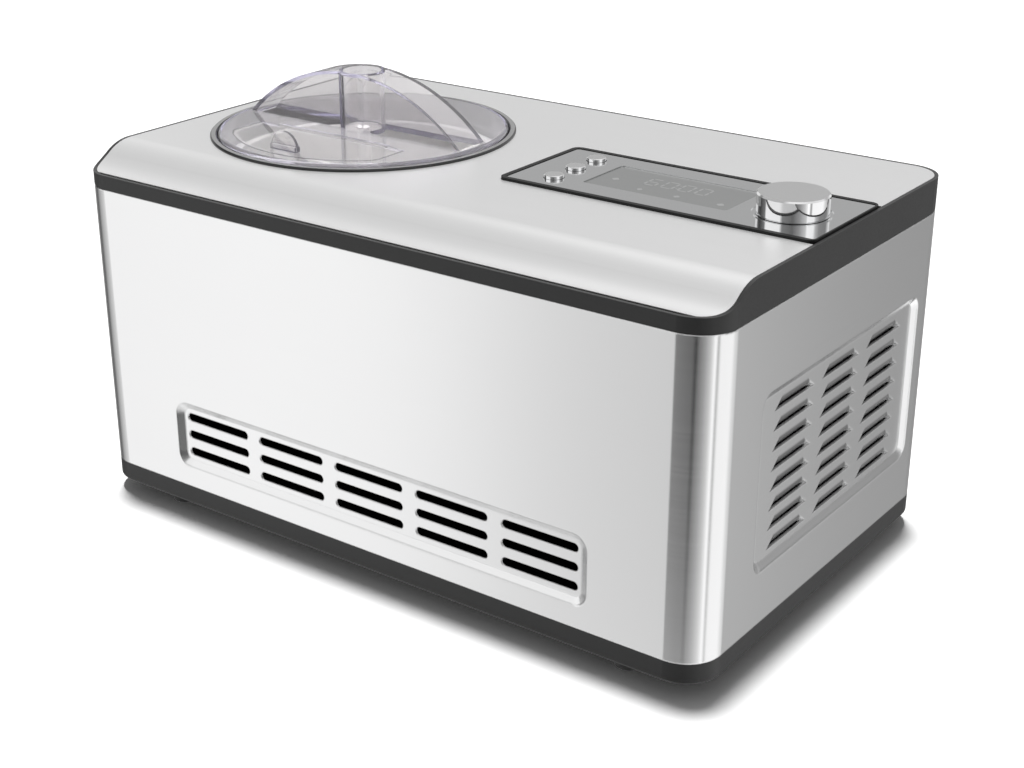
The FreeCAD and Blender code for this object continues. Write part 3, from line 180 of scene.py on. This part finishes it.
def node(tree, kind, inputs=(), **settings):
    """Add a shader node, with values or links on its inputs."""
    made = tree.nodes.new(kind)
    for key, value in settings.items():
        setattr(made, key, value)
    for socket, value in dict(inputs).items():
        if isinstance(value, bpy.types.NodeSocket):
            tree.links.new(value, made.inputs[socket])
        else:
            made.inputs[socket].default_value = value
    return made


def opaque(tone):
    """A colour with full alpha."""
    return (*tone, 1.0)


def scaled(tone, factor):
    """A colour made lighter or darker."""
    return tuple(min(1.0, part * factor) for part in tone)


def start_material(name):
    """A new material and its main shader node."""
    material = bpy.data.materials.new(name)
    material.use_nodes = True
    return material, material.node_tree, material.node_tree.nodes["Principled BSDF"]


def noise(tree, scale, detail=4.0, roughness=0.55):
    """Noise that is fixed to the part, with its own scale along each axis."""
    place = node(tree, "ShaderNodeTexCoord")
    stretch = node(tree, "ShaderNodeMapping", {"Vector": place.outputs["Object"], "Scale": scale})
    return node(tree, "ShaderNodeTexNoise", {"Vector": stretch.outputs["Vector"], "Scale": 1.0,
                                             "Detail": detail, "Roughness": roughness}).outputs["Fac"]


def between(tree, factor, low, high):
    """Carry a texture over to a range of values."""
    return node(tree, "ShaderNodeMapRange", {"Value": factor, "From Min": NOISE_SPREAD[0],
                                             "From Max": NOISE_SPREAD[1], "To Min": low,
                                             "To Max": high}).outputs["Result"]


def mixed(tree, factor, first, second):
    """Blend two colours by a texture."""
    blend = node(tree, "ShaderNodeMix", data_type="RGBA")
    for socket, value in ((0, factor), (6, first), (7, second)):
        if isinstance(value, bpy.types.NodeSocket):
            tree.links.new(value, blend.inputs[socket])
        else:
            blend.inputs[socket].default_value = value
    return blend.outputs[2]


def relief(tree, height, strength, depth, soften=0.0):
    """Turn a texture into small bumps, with the part's sharp edges softened by a radius."""
    bump = node(tree, "ShaderNodeBump", {"Height": height, "Strength": strength, "Distance": depth})
    if soften:
        eased = node(tree, "ShaderNodeBevel", {"Radius": soften}, samples=4)
        tree.links.new(eased.outputs["Normal"], bump.inputs["Normal"])
    return bump.outputs["Normal"]


def step(tree, value, start, end):
    """Nought before the start and one after the end, also where the end comes first."""
    return node(tree, "ShaderNodeMapRange", {"Value": value, "From Min": start,
                                             "From Max": end}).outputs["Result"]


def product(tree, first, *others):
    """Several factors multiplied."""
    made = first
    for other in others:
        made = node(tree, "ShaderNodeMath", {0: made, 1: other}, operation="MULTIPLY").outputs[0]
    return made


def louvre_painted_shade_mask(tree):
    """Mask of painted shade: one inside the pressed louvres of the right wall, but not on their bright
    rear ends.
    """
    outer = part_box("steel_shell")[1].x
    place = node(tree, "ShaderNodeTexCoord")
    across = node(tree, "ShaderNodeSeparateXYZ", {"Vector": place.outputs["Object"]}).outputs["X"]
    facing = node(tree, "ShaderNodeNewGeometry")
    normal = node(tree, "ShaderNodeSeparateXYZ", {"Vector": facing.outputs["Normal"]})
    slope = node(tree, "ShaderNodeMath", {0: normal.outputs["Z"]}, operation="ABSOLUTE").outputs[0]
    return product(tree, step(tree, slope, *LOUVRE_SLOPE), step(tree, normal.outputs["Y"], *LOUVRE_END),
                   step(tree, across, outer - LOUVRE_FLOOR, outer - LOUVRE_FACE - 0.2 * MILLIMETRE),
                   step(tree, across, outer - LOUVRE_FACE, outer - LOUVRE_FACE - 0.1 * MILLIMETRE))


def moulded(name, tone, roughness, grain=900.0, variation=0.10, bump=0.12, metallic=0.0, specular=0.5):
    """A part with an even colour, slight cloudiness and a fine surface grain."""
    material, tree, main = start_material(name)
    cloud = noise(tree, (35.0, 35.0, 35.0))
    fine = noise(tree, (grain, grain, grain), detail=2.0)
    tree.links.new(mixed(tree, cloud, opaque(scaled(tone, 1 - variation)),
                         opaque(scaled(tone, 1 + variation))), main.inputs["Base Color"])
    tree.links.new(between(tree, fine, roughness * 0.88, roughness * 1.12), main.inputs["Roughness"])
    tree.links.new(relief(tree, fine, bump, 0.15 * MILLIMETRE), main.inputs["Normal"])
    main.inputs["Metallic"].default_value = metallic
    main.inputs["Specular IOR Level"].default_value = specular
    return material


def brushed(name, tone, roughness, along, brush, bump=0.012, variation=0.02, metallic=1.0, soften=0.0,
            shade=None):
    """Metal with long fine lines, where along gives the scale of the lines on each axis."""
    material, tree, main = start_material(name)
    lines = noise(tree, along, detail=3.0, roughness=0.7)
    cloud = noise(tree, (9.0, 9.0, 9.0), detail=2.0)
    both = node(tree, "ShaderNodeMath", {0: lines, 1: cloud}, operation="ADD")
    half = node(tree, "ShaderNodeMath", {0: both.outputs[0], 1: 0.5}, operation="MULTIPLY").outputs[0]
    tint = mixed(tree, half, opaque(scaled(tone, 1 - variation)), opaque(scaled(tone, 1 + variation)))
    # painted shade: the louvre mask blends the steel towards a darker tone inside the louvres
    if shade:
        tint = mixed(tree, louvre_painted_shade_mask(tree), tint, opaque(scaled(tone, shade)))
    tree.links.new(tint, main.inputs["Base Color"])
    tree.links.new(between(tree, lines, roughness * 0.9, roughness * 1.1), main.inputs["Roughness"])
    tree.links.new(relief(tree, lines, bump, 0.05 * MILLIMETRE, soften), main.inputs["Normal"])
    main.inputs["Metallic"].default_value = metallic
    if brush:
        main.inputs["Anisotropic"].default_value = brush
        main.inputs["Anisotropic Rotation"].default_value = 0.25
        tangent = node(tree, "ShaderNodeTangent", direction_type="RADIAL", axis="Z")
        tree.links.new(tangent.outputs["Tangent"], main.inputs["Tangent"])
    return material


def upward(tree):
    """One on faces that point straight up, falling to nought on their rounded edges."""
    facing = node(tree, "ShaderNodeNewGeometry")
    normal = node(tree, "ShaderNodeSeparateXYZ", {"Vector": facing.outputs["Normal"]})
    return step(tree, normal.outputs["Z"], *FLAT_TOP)


def moulded_with_painted_top_sheen(name, tone, top_tone, roughness):
    """Moulded plastic whose upward faces are painted lighter, as a painted sheen."""
    material, tree, main = start_material(name)
    cloud = noise(tree, (35.0, 35.0, 35.0))
    fine = noise(tree, (900.0, 900.0, 900.0), detail=2.0)
    side = mixed(tree, cloud, opaque(scaled(tone, 0.9)), opaque(scaled(tone, 1.1)))
    # painted sheen: the upward faces take the lighter top colour, with the same roughness as the sides
    top = mixed(tree, cloud, opaque(scaled(top_tone, 0.95)), opaque(scaled(top_tone, 1.05)))
    tree.links.new(mixed(tree, upward(tree), side, top), main.inputs["Base Color"])
    tree.links.new(between(tree, fine, roughness * 0.9, roughness * 1.1), main.inputs["Roughness"])
    tree.links.new(relief(tree, fine, 0.04, 0.1 * MILLIMETRE), main.inputs["Normal"])
    return material


def polished_with_satin_top(name, tone, top_tone, top_rings):
    """Bright plating whose upward faces are spun to a satin, round the given centre."""
    material, tree, main = start_material(name)
    up = upward(tree)
    place = node(tree, "ShaderNodeTexCoord")
    centred = node(tree, "ShaderNodeMapping", {"Vector": place.outputs["Object"],
                                               "Location": (-top_rings[0], -top_rings[1], 0.0)})
    radius = node(tree, "ShaderNodeVectorMath", {0: centred.outputs["Vector"], 1: (1.0, 1.0, 0.0)},
                  operation="MULTIPLY")
    reach = node(tree, "ShaderNodeVectorMath", {0: radius.outputs["Vector"]}, operation="LENGTH")
    rings = node(tree, "ShaderNodeTexNoise", {"W": node(tree, "ShaderNodeMath", {
        0: reach.outputs["Value"], 1: 2500.0}, operation="MULTIPLY").outputs[0], "Scale": 1.0,
        "Detail": 2.0}, noise_dimensions="1D").outputs["Fac"]
    smudge = noise(tree, (60.0, 60.0, 60.0))
    satin = between(tree, rings, 0.30, 0.34)
    bright = between(tree, smudge, 0.04, 0.07)
    gloss = node(tree, "ShaderNodeMix", {0: up, 2: bright, 3: satin})
    tree.links.new(gloss.outputs[0], main.inputs["Roughness"])
    side = mixed(tree, smudge, opaque(scaled(tone, 0.97)), opaque(tone))
    top = mixed(tree, rings, opaque(scaled(top_tone, 0.985)), opaque(top_tone))
    tree.links.new(mixed(tree, up, side, top), main.inputs["Base Color"])
    tree.links.new(relief(tree, rings, 0.004, 0.05 * MILLIMETRE), main.inputs["Normal"])
    main.inputs["Metallic"].default_value = 1.0
    return material


def clear_plastic(name, finish):
    """Clear moulded plastic whose long edges take on a faint tint."""
    material, tree, main = start_material(name)
    flow = noise(tree, (22.0, 22.0, 22.0), detail=2.0)
    tree.links.new(between(tree, flow, 0.01, 0.05), main.inputs["Roughness"])
    tree.links.new(mixed(tree, flow, opaque(scaled(finish.clear, 0.98)), opaque(finish.clear)),
                   main.inputs["Base Color"])
    tree.links.new(relief(tree, flow, 0.05, 0.4 * MILLIMETRE), main.inputs["Normal"])
    main.inputs["Transmission Weight"].default_value = 1.0 - finish.clear_haze
    main.inputs["IOR"].default_value = 1.42
    tint = node(tree, "ShaderNodeVolumeAbsorption", {"Color": opaque(finish.clear_edge),
                                                     "Density": finish.clear_density})
    path = node(tree, "ShaderNodeLightPath")
    lit = node(tree, "ShaderNodeBsdfTransparent", {"Color": opaque(finish.clear)})
    both = node(tree, "ShaderNodeMixShader", {0: path.outputs["Is Shadow Ray"], 1: main.outputs["BSDF"],
                                              2: lit.outputs["BSDF"]})
    out = tree.nodes["Material Output"]
    tree.links.new(both.outputs["Shader"], out.inputs["Surface"])
    tree.links.new(tint.outputs["Volume"], out.inputs["Volume"])
    return material


def display_window(name, tone):
    """Grey window with a satin front and slight clouds."""
    material, tree, main = start_material(name)
    cloud = noise(tree, (18.0, 40.0, 18.0), detail=2.0)
    fine = noise(tree, (1500.0, 1500.0, 1500.0), detail=1.0)
    tree.links.new(mixed(tree, cloud, opaque(scaled(tone, 0.96)), opaque(scaled(tone, 1.04))),
                   main.inputs["Base Color"])
    tree.links.new(between(tree, fine, 0.20, 0.24), main.inputs["Roughness"])
    tree.links.new(relief(tree, fine, 0.004, 0.02 * MILLIMETRE), main.inputs["Normal"])
    return material


def dress(material, *names):
    """Give CAD nodes their material."""
    for name in names:
        slots = frame["nodes"][name].data.materials
        slots.clear()
        slots.append(material)


def nodes_of(slot):
    """The CAD nodes that the record gives a material slot."""
    found = [part["node"] for part in frame["record"]["subparts"] if part["material_slot"] == slot]
    if not found:
        raise RuntimeError("No part has the material slot " + slot)
    return found


def centre_of(name):
    """Middle of a CAD node seen from above."""
    low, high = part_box(name)
    return (low.x + high.x) / 2, (low.y + high.y) / 2


def deselect():
    """Leave edit mode and select nothing."""
    if bpy.context.mode != "OBJECT":
        bpy.ops.object.mode_set(mode="OBJECT")
    bpy.ops.object.select_all(action="DESELECT")


def settle():
    """Put a finished piece's place and size into its mesh."""
    bpy.ops.object.transform_apply(location=True, rotation=True, scale=True)


def join(pieces, name):
    """Join pieces into one with a name of its own."""
    deselect()
    for piece in pieces:
        piece.select_set(True)
    bpy.context.view_layer.objects.active = pieces[0]
    if len(pieces) > 1:
        bpy.ops.object.join()
    made = bpy.context.active_object
    made.name = name
    made.data.name = name
    return made


class ICE_OT_finish_housing(Operator):
    """Give the shell, frame, plate, base and rear parts their finishes"""

    bl_idname = "ice.finish_housing"
    bl_label = "Finish housing"

    def execute(self, context):
        finish = context.scene.ice_finish
        # the steel carries painted shade inside the louvres
        steel = brushed("brushed_steel_painted_louvre_shade", finish.steel, finish.steel_roughness, (7.0, 7.0, 1500.0),
                        finish.steel_brush, soften=finish.steel_edge, shade=finish.steel_louvre_painted_shade)
        plate = brushed("satin_plate", finish.plate, finish.plate_roughness, (9.0, 1400.0, 9.0), 0.0,
                        metallic=finish.plate_metal, soften=finish.plate_edge)
        black = moulded("black_plastic", finish.black, 0.36, bump=0.05, specular=0.32)
        zinc = moulded("zinc_sheet", (0.55, 0.56, 0.57), 0.42, grain=400.0, metallic=0.8)
        screw = moulded("screw_steel", (0.50, 0.50, 0.51), 0.30, grain=600.0, metallic=1.0)
        rubber = moulded("rubber", (0.025, 0.025, 0.025), 0.62, grain=700.0, bump=0.2)
        dress(steel, *nodes_of("steel"))
        dress(plate, *nodes_of("satin_plate"))
        dress(black, *nodes_of("black_plastic"))
        dress(zinc, *nodes_of("zinc_sheet"))
        dress(screw, *nodes_of("screw_steel"))
        dress(rubber, *nodes_of("rubber"))
        # the collar's top carries a painted sheen
        collar = moulded_with_painted_top_sheen("collar_plastic_painted_top_sheen", finish.collar, finish.collar_top_painted_sheen, 0.30)
        dress(collar, "bowl_collar")
        dress(moulded("bezel_plastic", finish.collar, 0.45, bump=0.05, specular=0.2), "panel_bezel")
        return {"FINISHED"}


class ICE_OT_finish_bowl(Operator):
    """Give the lid, flap, bowl, paddle and cold drum their finishes"""

    bl_idname = "ice.finish_bowl"
    bl_label = "Finish bowl and lid"

    def execute(self, context):
        finish = context.scene.ice_finish
        dress(clear_plastic("clear_plastic", finish), *nodes_of("clear_plastic"))
        dress(brushed("bowl_aluminium", (0.68, 0.68, 0.67), 0.50, (14.0, 14.0, 900.0), 0.0, metallic=0.75),
              *nodes_of("bowl_aluminium"))
        dress(brushed("drum_aluminium", (0.70, 0.71, 0.72), 0.30, (14.0, 14.0, 700.0), 0.0),
              *nodes_of("drum_aluminium"))
        dress(moulded("paddle_plastic", (0.62, 0.62, 0.61), 0.38), *nodes_of("paddle_plastic"))
        dress(moulded("rigid_foam", (0.86, 0.83, 0.72), 0.85, grain=420.0, bump=0.6), *nodes_of("foam"))
        dress(moulded("copper_tube", (0.62, 0.32, 0.20), 0.28, grain=300.0, metallic=1.0),
              *nodes_of("copper"))
        return {"FINISHED"}


class ICE_OT_finish_controls(Operator):
    """Give the control panel's fascia, window, knob and buttons their finishes"""

    bl_idname = "ice.finish_controls"
    bl_label = "Finish controls"

    def execute(self, context):
        finish = context.scene.ice_finish
        fascia = brushed("grey_fascia", finish.fascia, finish.fascia_roughness, (12.0, 900.0, 12.0), 0.0)
        dress(fascia, *nodes_of("grey_fascia"))
        dress(display_window("display_window", finish.lens), *nodes_of("display_glass"))
        for name in nodes_of("chrome"):
            top = finish.knob_top if name == "timer_knob" else finish.button_top
            dress(polished_with_satin_top(name + "_chrome", finish.chrome, top, centre_of(name)), name)
        return {"FINISHED"}


class ICE_OT_finish_works(Operator):
    """Give the drive, the compressor, the fan and the boards their finishes"""

    bl_idname = "ice.finish_works"
    bl_label = "Finish inner works"

    def execute(self, context):
        dress(moulded("gear_plastic", (0.84, 0.82, 0.75), 0.45), *nodes_of("gear_plastic"))
        dress(moulded("shaft_steel", (0.58, 0.58, 0.59), 0.22, grain=500.0, metallic=1.0),
              *nodes_of("shaft_steel"))
        dress(moulded("bush_bronze", (0.55, 0.40, 0.20), 0.40, grain=900.0, bump=0.3, metallic=1.0),
              *nodes_of("bush_bronze"))
        dress(moulded("motor_can", (0.34, 0.34, 0.35), 0.40, grain=500.0, metallic=0.9),
              *nodes_of("motor_can"))
        dress(moulded("compressor_black", (0.025, 0.025, 0.027), 0.38, grain=500.0, bump=0.25),
              *nodes_of("compressor_black"))
        dress(moulded("board_green", (0.03, 0.16, 0.07), 0.30, grain=300.0), *nodes_of("board_green"))
        dress(moulded("module_black", (0.035, 0.035, 0.038), 0.42), *nodes_of("module_black"))
        return {"FINISHED"}


class ICE_OT_add_display_marks(Operator):
    """Model the faint unlit digits and signs of the display"""

    bl_idname = "ice.add_display_marks"
    bl_label = "Add display marks"

    SEGMENTS = {"0": "abcdef", "6": "acdefg"}
    DIGITS = "6000"

    def bar(self, place, size, sizes):
        """One bar with pointed ends, from a block that is bevelled in edit mode."""
        deselect()
        thickness = sizes.mark_thickness
        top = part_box("display_lens")[1].z
        bpy.ops.mesh.primitive_cube_add(size=1.0, location=(place[0], place[1], top + thickness / 2))
        piece = bpy.context.active_object
        piece.scale = (size[0], size[1], thickness)
        settle()
        bpy.ops.object.mode_set(mode="EDIT")
        bpy.ops.mesh.select_mode(type="EDGE")
        bpy.ops.mesh.select_all(action="DESELECT")
        bpy.ops.object.mode_set(mode="OBJECT")
        for edge in piece.data.edges:
            ends = [piece.data.vertices[i].co for i in edge.vertices]
            edge.select = abs(ends[0].z - ends[1].z) > thickness / 2
        bpy.ops.object.mode_set(mode="EDIT")
        bpy.ops.mesh.bevel(offset=min(size) * sizes.bar_point, segments=1, affect="EDGES")
        bpy.ops.object.mode_set(mode="OBJECT")
        return piece

    def execute(self, context):
        sizes = context.scene.ice_display
        low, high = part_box("display_lens")
        middle = Vector(((low.x + high.x) / 2, (low.y + high.y) / 2))
        width, height, bar = sizes.digit_width, sizes.digit_height, sizes.segment_width
        start = middle.x + sizes.row_right - sizes.digit_pitch * (len(self.DIGITS) - 1) / 2
        row = middle.y + sizes.row_up
        across = width - bar
        upright = height / 2 - bar
        places = {
            "a": ((0, height / 2), (across, bar)), "g": ((0, 0), (across, bar)),
            "d": ((0, -height / 2), (across, bar)), "f": ((-width / 2, height / 4), (bar, upright)),
            "b": ((width / 2, height / 4), (bar, upright)),
            "e": ((-width / 2, -height / 4), (bar, upright)),
            "c": ((width / 2, -height / 4), (bar, upright)),
        }
        bars = []
        for index, digit in enumerate(self.DIGITS):
            x = start + index * sizes.digit_pitch
            for letter in self.SEGMENTS[digit]:
                (step_x, step_y), size = places[letter]
                bars.append(self.bar((x + step_x, row + step_y), size, sizes))
        colon = start + sizes.digit_pitch * (len(self.DIGITS) - 1) / 2
        for side in (-1, 1):
            bars.append(self.bar((colon, row + side * sizes.colon_step * height), (bar, bar), sizes))
        for step_x, step_y, size in SIGNS:
            place = (middle.x + step_x * MILLIMETRE, middle.y + step_y * MILLIMETRE)
            bars.append(self.bar(place, (size * MILLIMETRE, size * MILLIMETRE), sizes))
        marks = join(bars, "display_marks")
        marks.data.materials.clear()
        marks.data.materials.append(display_window("display_mark", context.scene.ice_finish.mark))
        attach(marks, "housing")
        return {"FINISHED"}


class ICE_OT_set_stage(Operator):
    """Lay the floor, hang the lights, paint the surroundings and place the camera"""

    bl_idname = "ice.set_stage"
    bl_label = "Set stage"

    def floor(self, settings):
        """A pale floor that turns white for the camera and keeps the shadow."""
        deselect()
        bpy.ops.mesh.primitive_plane_add(size=settings.floor_size, location=(0.0, 0.0, 0.0))
        made = bpy.context.active_object
        made.name = "studio_floor"
        material = bpy.data.materials.new("studio_floor")
        material.use_nodes = True
        tree = material.node_tree
        tree.nodes.clear()
        path = node(tree, "ShaderNodeLightPath")
        shade = (settings.floor_shade,) * 3
        plain = node(tree, "ShaderNodeBsdfDiffuse", {"Color": opaque(shade)})
        white = node(tree, "ShaderNodeBsdfDiffuse", {"Color": opaque((settings.floor_white,) * 3)})
        both = node(tree, "ShaderNodeMixShader", {0: path.outputs["Is Camera Ray"], 1: plain.outputs[0],
                                                  2: white.outputs[0]})
        out = node(tree, "ShaderNodeOutputMaterial")
        tree.links.new(both.outputs[0], out.inputs["Surface"])
        made.data.materials.append(material)
        made.visible_glossy = False

    def surroundings(self, settings):
        """White for the camera, soft light for the parts, and bright and dark fields to reflect."""
        world = bpy.data.worlds.new("studio")
        bpy.context.scene.world = world
        world.use_nodes = True
        tree = world.node_tree
        tree.nodes.clear()
        direction = node(tree, "ShaderNodeTexCoord")
        parts = node(tree, "ShaderNodeSeparateXYZ", {"Vector": direction.outputs["Generated"]})
        front = node(tree, "ShaderNodeMath", {0: parts.outputs["Y"], 1: -1.0}, operation="MULTIPLY")
        turn = node(tree, "ShaderNodeMath", {0: parts.outputs["X"], 1: front.outputs[0]},
                    operation="ARCTAN2")
        around = node(tree, "ShaderNodeMapRange", {"Value": turn.outputs[0], "From Min": -math.pi,
                                                   "From Max": math.pi})
        fields = self.ramp(tree, around.outputs["Result"], FLOOR_FIELDS)
        for ring, start, end in RINGS:
            fields = mixed(tree, step(tree, parts.outputs["Z"], start, end), fields,
                           self.ramp(tree, around.outputs["Result"], ring))
        path = node(tree, "ShaderNodeLightPath")
        fill = node(tree, "ShaderNodeBackground", {"Color": (1.0, 1.0, 1.0, 1.0),
                                                   "Strength": settings.fill_strength})
        seen = node(tree, "ShaderNodeBackground", {"Color": (1.0, 1.0, 1.0, 1.0), "Strength": 1.0})
        gloss = node(tree, "ShaderNodeBackground", {"Color": fields, "Strength": 1.0})
        open_to = node(tree, "ShaderNodeMath", {0: path.outputs["Is Camera Ray"],
                                                1: path.outputs["Is Transmission Ray"]},
                       operation="MAXIMUM")
        first = node(tree, "ShaderNodeMixShader", {0: path.outputs["Is Glossy Ray"], 1: fill.outputs[0],
                                                   2: gloss.outputs[0]})
        second = node(tree, "ShaderNodeMixShader", {0: open_to.outputs[0], 1: first.outputs[0],
                                                    2: seen.outputs[0]})
        out = node(tree, "ShaderNodeOutputWorld")
        tree.links.new(second.outputs[0], out.inputs["Surface"])

    def ramp(self, tree, factor, fields):
        """Fields of brightness round the horizon, each at its angle from the front in degrees."""
        made = node(tree, "ShaderNodeValToRGB", {"Fac": factor})
        stops = made.color_ramp.elements
        while len(stops) > 1:
            stops.remove(stops[-1])
        for index, (degrees, level) in enumerate(fields):
            place = (degrees + 180.0) / 360.0
            stop = stops[0] if index == 0 else stops.new(place)
            stop.position = place
            stop.color = (level, level, level, 1.0)
        return made.outputs["Color"]

    def lights(self, settings):
        """A key from above that leans back a little, which the metal does not mirror."""
        deselect()
        bpy.ops.object.light_add(type="SUN", location=(0.0, 0.0, 2.0))
        key = bpy.context.active_object
        key.name = "key_light"
        key.data.energy = settings.sun_strength
        key.data.angle = settings.sun_width
        key.rotation_euler = (-settings.sun_lean, -settings.sun_lean, 0.0)
        key.visible_glossy = False

    def camera(self, settings):
        """The camera at the viewing angle."""
        deselect()
        bpy.ops.object.camera_add(location=settings.camera_place)
        made = bpy.context.active_object
        made.name = "studio_camera"
        turn, tilt = settings.camera_turn, settings.camera_tilt
        back = Vector((math.sin(turn) * math.cos(tilt), -math.cos(turn) * math.cos(tilt), math.sin(tilt)))
        made.rotation_euler = (-back).to_track_quat("-Z", "Y").to_euler()
        made.data.lens = settings.camera_lens
        made.data.sensor_width = SENSOR_WIDTH
        made.data.sensor_fit = "HORIZONTAL"
        bpy.context.scene.camera = made

    def execute(self, context):
        settings = context.scene.ice_stage
        self.floor(settings)
        self.surroundings(settings)
        self.lights(settings)
        self.camera(settings)
        context.scene.view_settings.view_transform = "Standard"
        return {"FINISHED"}


class ICE_PT_sidebar(Panel):
    """Lists the steps and the settings"""

    bl_idname = "ICE_PT_sidebar"
    bl_label = "Ice Cream Maker"
    bl_space_type = "VIEW_3D"
    bl_region_type = "UI"
    bl_category = "Ice Cream Maker"

    def draw(self, context):
        for operator in OPERATORS:
            self.layout.operator(operator.bl_idname)
        for settings in (context.scene.ice_finish, context.scene.ice_display, context.scene.ice_stage):
            for name in settings.__annotations__:
                self.layout.prop(settings, name)


SETTINGS = {"ice_finish": FinishSettings, "ice_display": DisplaySettings, "ice_stage": StageSettings}
OPERATORS = (ICE_OT_finish_housing, ICE_OT_finish_bowl, ICE_OT_finish_controls, ICE_OT_finish_works,
             ICE_OT_add_display_marks, ICE_OT_set_stage)


def register():
    for made in (*SETTINGS.values(), *OPERATORS, ICE_PT_sidebar):
        bpy.utils.register_class(made)
    for name, group in SETTINGS.items():
        setattr(bpy.types.Scene, name, PointerProperty(type=group))


def unregister():
    for name in SETTINGS:
        delattr(bpy.types.Scene, name)
    for made in reversed((*SETTINGS.values(), *OPERATORS, ICE_PT_sidebar)):
        bpy.utils.unregister_class(made)


def main():
    register()
    bpy.ops.ice.finish_housing()
    bpy.ops.ice.finish_bowl()
    bpy.ops.ice.finish_controls()
    bpy.ops.ice.finish_works()
    bpy.ops.ice.add_display_marks()
    bpy.ops.ice.set_stage()
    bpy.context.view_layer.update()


if __name__ == "__main__":
    main()
